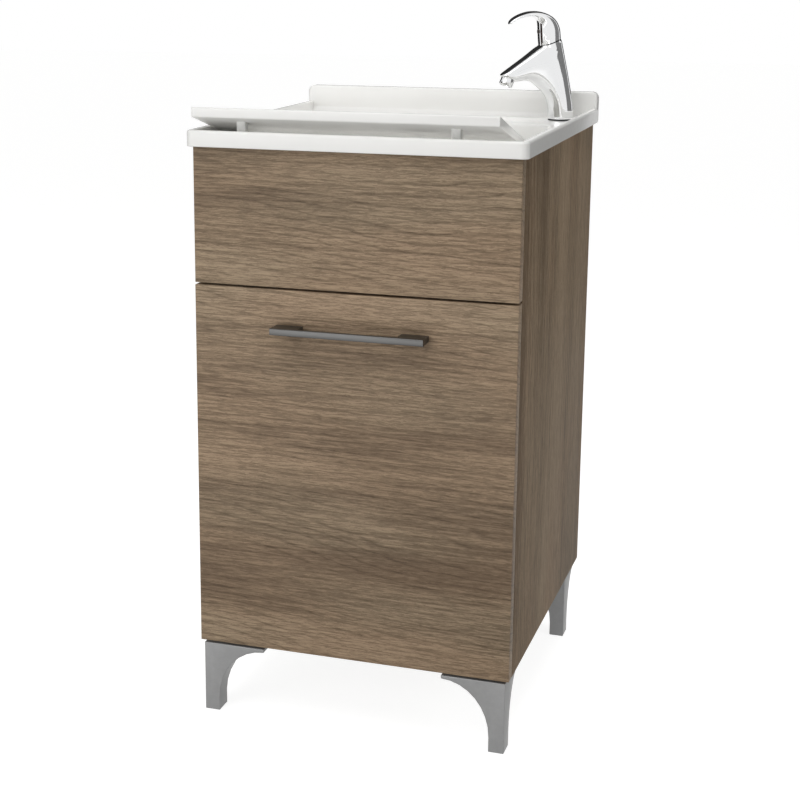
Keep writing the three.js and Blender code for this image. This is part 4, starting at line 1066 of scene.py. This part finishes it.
# The dark wall that reflections see: it begins and is full at these parts of a direction.
WALL_SHADE = 0.03
WALL_UP = (0.05, 0.14)
WALL_BACK = (-0.2, 0.3)
WALL_END = (0.3, 0.6)  # it fades out again to the right
RIGHT_SPAN = (-0.1, 0.7)  # over which the world's light falls off to the right
RIGHT_SHARE = 0.4  # light from the right, as a share of the light from the left


def floor_material(value, glow_strength):
    """Pale matte floor; the camera and reflections see it near white, with the object's shadow."""
    made = Nodes("floor")
    low, high = CLOUD_SPAN
    speckle = made.cloud(made.place, scale=40, detail=3)
    made.set(Base_Color=made.ramp(speckle, [(low, shaded(value, 0.99)), (high, value)]))
    made.set(Roughness=0.9, Specular_IOR_Level=0.1)
    light = made.new("ShaderNodeLightPath").outputs
    seen = made.math("MAXIMUM", light["Is Camera Ray"], light["Is Glossy Ray"])
    seen = made.math("MAXIMUM", seen, light["Is Transmission Ray"])
    glow = made.new("ShaderNodeEmission", Strength=made.math("MULTIPLY", seen, glow_strength))
    lit = made.new("ShaderNodeAddShader", made.shader.outputs[0], glow.outputs[0])
    made.link(lit.outputs[0], made.output.inputs["Surface"])
    return made.material


def sheet(name, width, depth, matrix, material):
    skin = bmesh.new()
    bmesh.ops.create_grid(skin, x_segments=1, y_segments=1, size=0.5)
    bmesh.ops.transform(skin, matrix=matrix @ Matrix.Diagonal((width, depth, 1, 1)), verts=skin.verts)
    thing = shown(name, to_mesh(skin, name))
    thing.data.materials.append(material)
    return thing


def lamp(name, place, target, size, power, mirrored):
    """A soft lamp that the camera does not see; polished metal shows it only where mirrored."""
    data = bpy.data.lights.new(name, "AREA")
    data.shape = "RECTANGLE"
    data.size, data.size_y = size
    data.energy = power
    thing = shown(name, data)
    thing.location = place
    thing.visible_camera = False
    thing.visible_glossy = mirrored
    thing.rotation_euler = (Vector(target) - Vector(place)).to_track_quat("-Z", "Y").to_euler()


def studio_cards():
    """Dark, grey and brown cards that only reflections show, as beside polished metal in a studio."""
    for name, shade, place, turn, size in CARDS:
        made = Nodes(name)
        made.set(Base_Color=(*shade, 1), Roughness=0.9, Specular_IOR_Level=0.0)
        matrix = Matrix.Translation(place) @ Matrix.Rotation(math.radians(turn), 4, "Z")
        card = sheet(name, *size, matrix @ Matrix.Rotation(math.pi / 2, 4, "X"), made.material)
        for ray in ("camera", "diffuse", "shadow", "transmission"):
            setattr(card, "visible_" + ray, False)


def studio_world(strength):
    """Even light all round, white to the camera; reflections see a dark wall high at the back."""
    world = bpy.data.worlds.new("studio")
    world.use_nodes = True
    made = Tree(world.node_tree)

    def background(power, shade=1):
        return made.new(
            "ShaderNodeBackground", Color=(shade, shade, shade, 1), Strength=power).outputs[0]

    def blend(factor, first, second):
        return made.new("ShaderNodeMixShader", factor, first, second).outputs[0]

    light = made.new("ShaderNodeLightPath").outputs
    heading = made.new("ShaderNodeTexCoord").outputs["Generated"]
    heading = made.new("ShaderNodeSeparateXYZ", Vector=heading).outputs
    high = made.ranged(heading["Z"], *WALL_UP)
    behind = made.ranged(heading["Y"], *WALL_BACK)
    aside = made.ranged(heading["X"], *WALL_END)
    dark = made.math("MULTIPLY", high, behind)
    dark = made.math("MULTIPLY", dark, made.math("SUBTRACT", 1, aside))
    wall = blend(dark, background(1), background(1, WALL_SHADE))
    clear = made.math("MAXIMUM", light["Is Camera Ray"], light["Is Transmission Ray"])
    to_right = made.ranged(heading["X"], *RIGHT_SPAN)
    uneven = blend(to_right, background(strength), background(strength * RIGHT_SHARE))
    seen = blend(clear, uneven, background(1))
    made.new("ShaderNodeOutputWorld", Surface=blend(light["Is Glossy Ray"], seen, wall))
    return world


def make_stage():
    stage = settings().stage
    scene = bpy.context.scene
    scene.view_settings.view_transform = "Standard"
    floor = floor_material(FLOOR_COLOUR, stage.floor_glow)
    sheet("floor", FLOOR_SIZE, FLOOR_SIZE, Matrix.Translation((0, 0, -FLOOR_DROP)), floor)
    studio_cards()
    scene.world = studio_world(stage.world_strength)
    for name, place, target, size, mirrored in LAMPS:
        lamp(name, place, target, size, getattr(stage, name + "_power"), mirrored)

    data = bpy.data.cameras.new("camera")
    data.lens = stage.camera_lens
    data.sensor_width = 36
    data.shift_x, data.shift_y = stage.camera_shift
    camera = shown("camera", data)
    camera.location = stage.camera_place
    camera.rotation_euler = (math.pi / 2 - stage.camera_pitch, 0, stage.camera_yaw)
    scene.camera = camera


# ---------------- operators

MATERIALS = {}


def all_materials():
    if not MATERIALS:
        MATERIALS.update(make_materials())
    return MATERIALS


class FinishBoards(bpy.types.Operator):
    """Gives the cabinet's boards their rounded edges and wood finish"""
    bl_idname = "laundry_sink.boards"
    bl_label = "Cabinet boards"

    def execute(self, context):
        make_boards(all_materials())
        return {"FINISHED"}


class FinishLegs(bpy.types.Operator):
    """Gives the four legs their rounded edges and silver-grey finish"""
    bl_idname = "laundry_sink.legs"
    bl_label = "Legs"

    def execute(self, context):
        make_legs(all_materials())
        return {"FINISHED"}


class FinishSinkTop(bpy.types.Operator):
    """Builds the glossy white sink top with its lip, bowl and upstand"""
    bl_idname = "laundry_sink.sink_top"
    bl_label = "Sink top"

    def execute(self, context):
        make_sink_top(all_materials())
        return {"FINISHED"}


class FinishWashboard(bpy.types.Operator):
    """Builds the sloping washboard with its ribs and feet"""
    bl_idname = "laundry_sink.washboard"
    bl_label = "Washboard"

    def execute(self, context):
        make_washboard(all_materials())
        return {"FINISHED"}


class FinishTap(bpy.types.Operator):
    """Builds the chrome tap: body with spout, lever and aerator"""
    bl_idname = "laundry_sink.tap"
    bl_label = "Tap"

    def execute(self, context):
        make_tap(all_materials())
        return {"FINISHED"}


class FinishHandle(bpy.types.Operator):
    """Gives the bar handle its rounded edges and satin finish"""
    bl_idname = "laundry_sink.handle"
    bl_label = "Handle"

    def execute(self, context):
        make_handle(all_materials())
        return {"FINISHED"}


class FinishBasket(bpy.types.Operator):
    """Gives the laundry basket its rounded edges and finish"""
    bl_idname = "laundry_sink.basket"
    bl_label = "Laundry basket"

    def execute(self, context):
        make_basket(all_materials())
        return {"FINISHED"}


class FinishWaste(bpy.types.Operator):
    """Gives the strainer, trap and pipes smooth curves and their finishes"""
    bl_idname = "laundry_sink.waste"
    bl_label = "Waste and trap"

    def execute(self, context):
        make_waste(all_materials())
        return {"FINISHED"}


class FinishFittings(bpy.types.Operator):
    """Gives hinges, hooks, brackets, screws and the tap's fixings their finishes"""
    bl_idname = "laundry_sink.fittings"
    bl_label = "Fittings"

    def execute(self, context):
        make_fittings(all_materials())
        return {"FINISHED"}


class SetStage(bpy.types.Operator):
    """Sets the floor, the soft light and the camera"""
    bl_idname = "laundry_sink.stage"
    bl_label = "Stage"

    def execute(self, context):
        make_stage()
        return {"FINISHED"}


OPERATORS = (
    SetStage, FinishBoards, FinishLegs, FinishSinkTop, FinishWashboard, FinishTap, FinishHandle,
    FinishBasket, FinishWaste, FinishFittings,
)


class SinkPanel(bpy.types.Panel):
    """Lists the pieces of the laundry sink"""
    bl_idname = "VIEW3D_PT_laundry_sink"
    bl_label = "Laundry sink"
    bl_space_type = "VIEW_3D"
    bl_region_type = "UI"
    bl_category = "Laundry sink"

    def draw(self, context):
        for operator in OPERATORS:
            self.layout.operator(operator.bl_idname)


CLASSES = (SinkSizes, SinkColours, StageSettings, SinkSettings, *OPERATORS, SinkPanel)


def register():
    for kind in CLASSES:
        bpy.utils.register_class(kind)
    bpy.types.Scene.laundry_sink = bpy.props.PointerProperty(type=SinkSettings)


def unregister():
    del bpy.types.Scene.laundry_sink
    for kind in reversed(CLASSES):
        bpy.utils.unregister_class(kind)


def main():
    register()
    for operator in OPERATORS:
        group, name = operator.bl_idname.split(".")
        getattr(getattr(bpy.ops, group), name)()


if __name__ == "__main__":
    main()
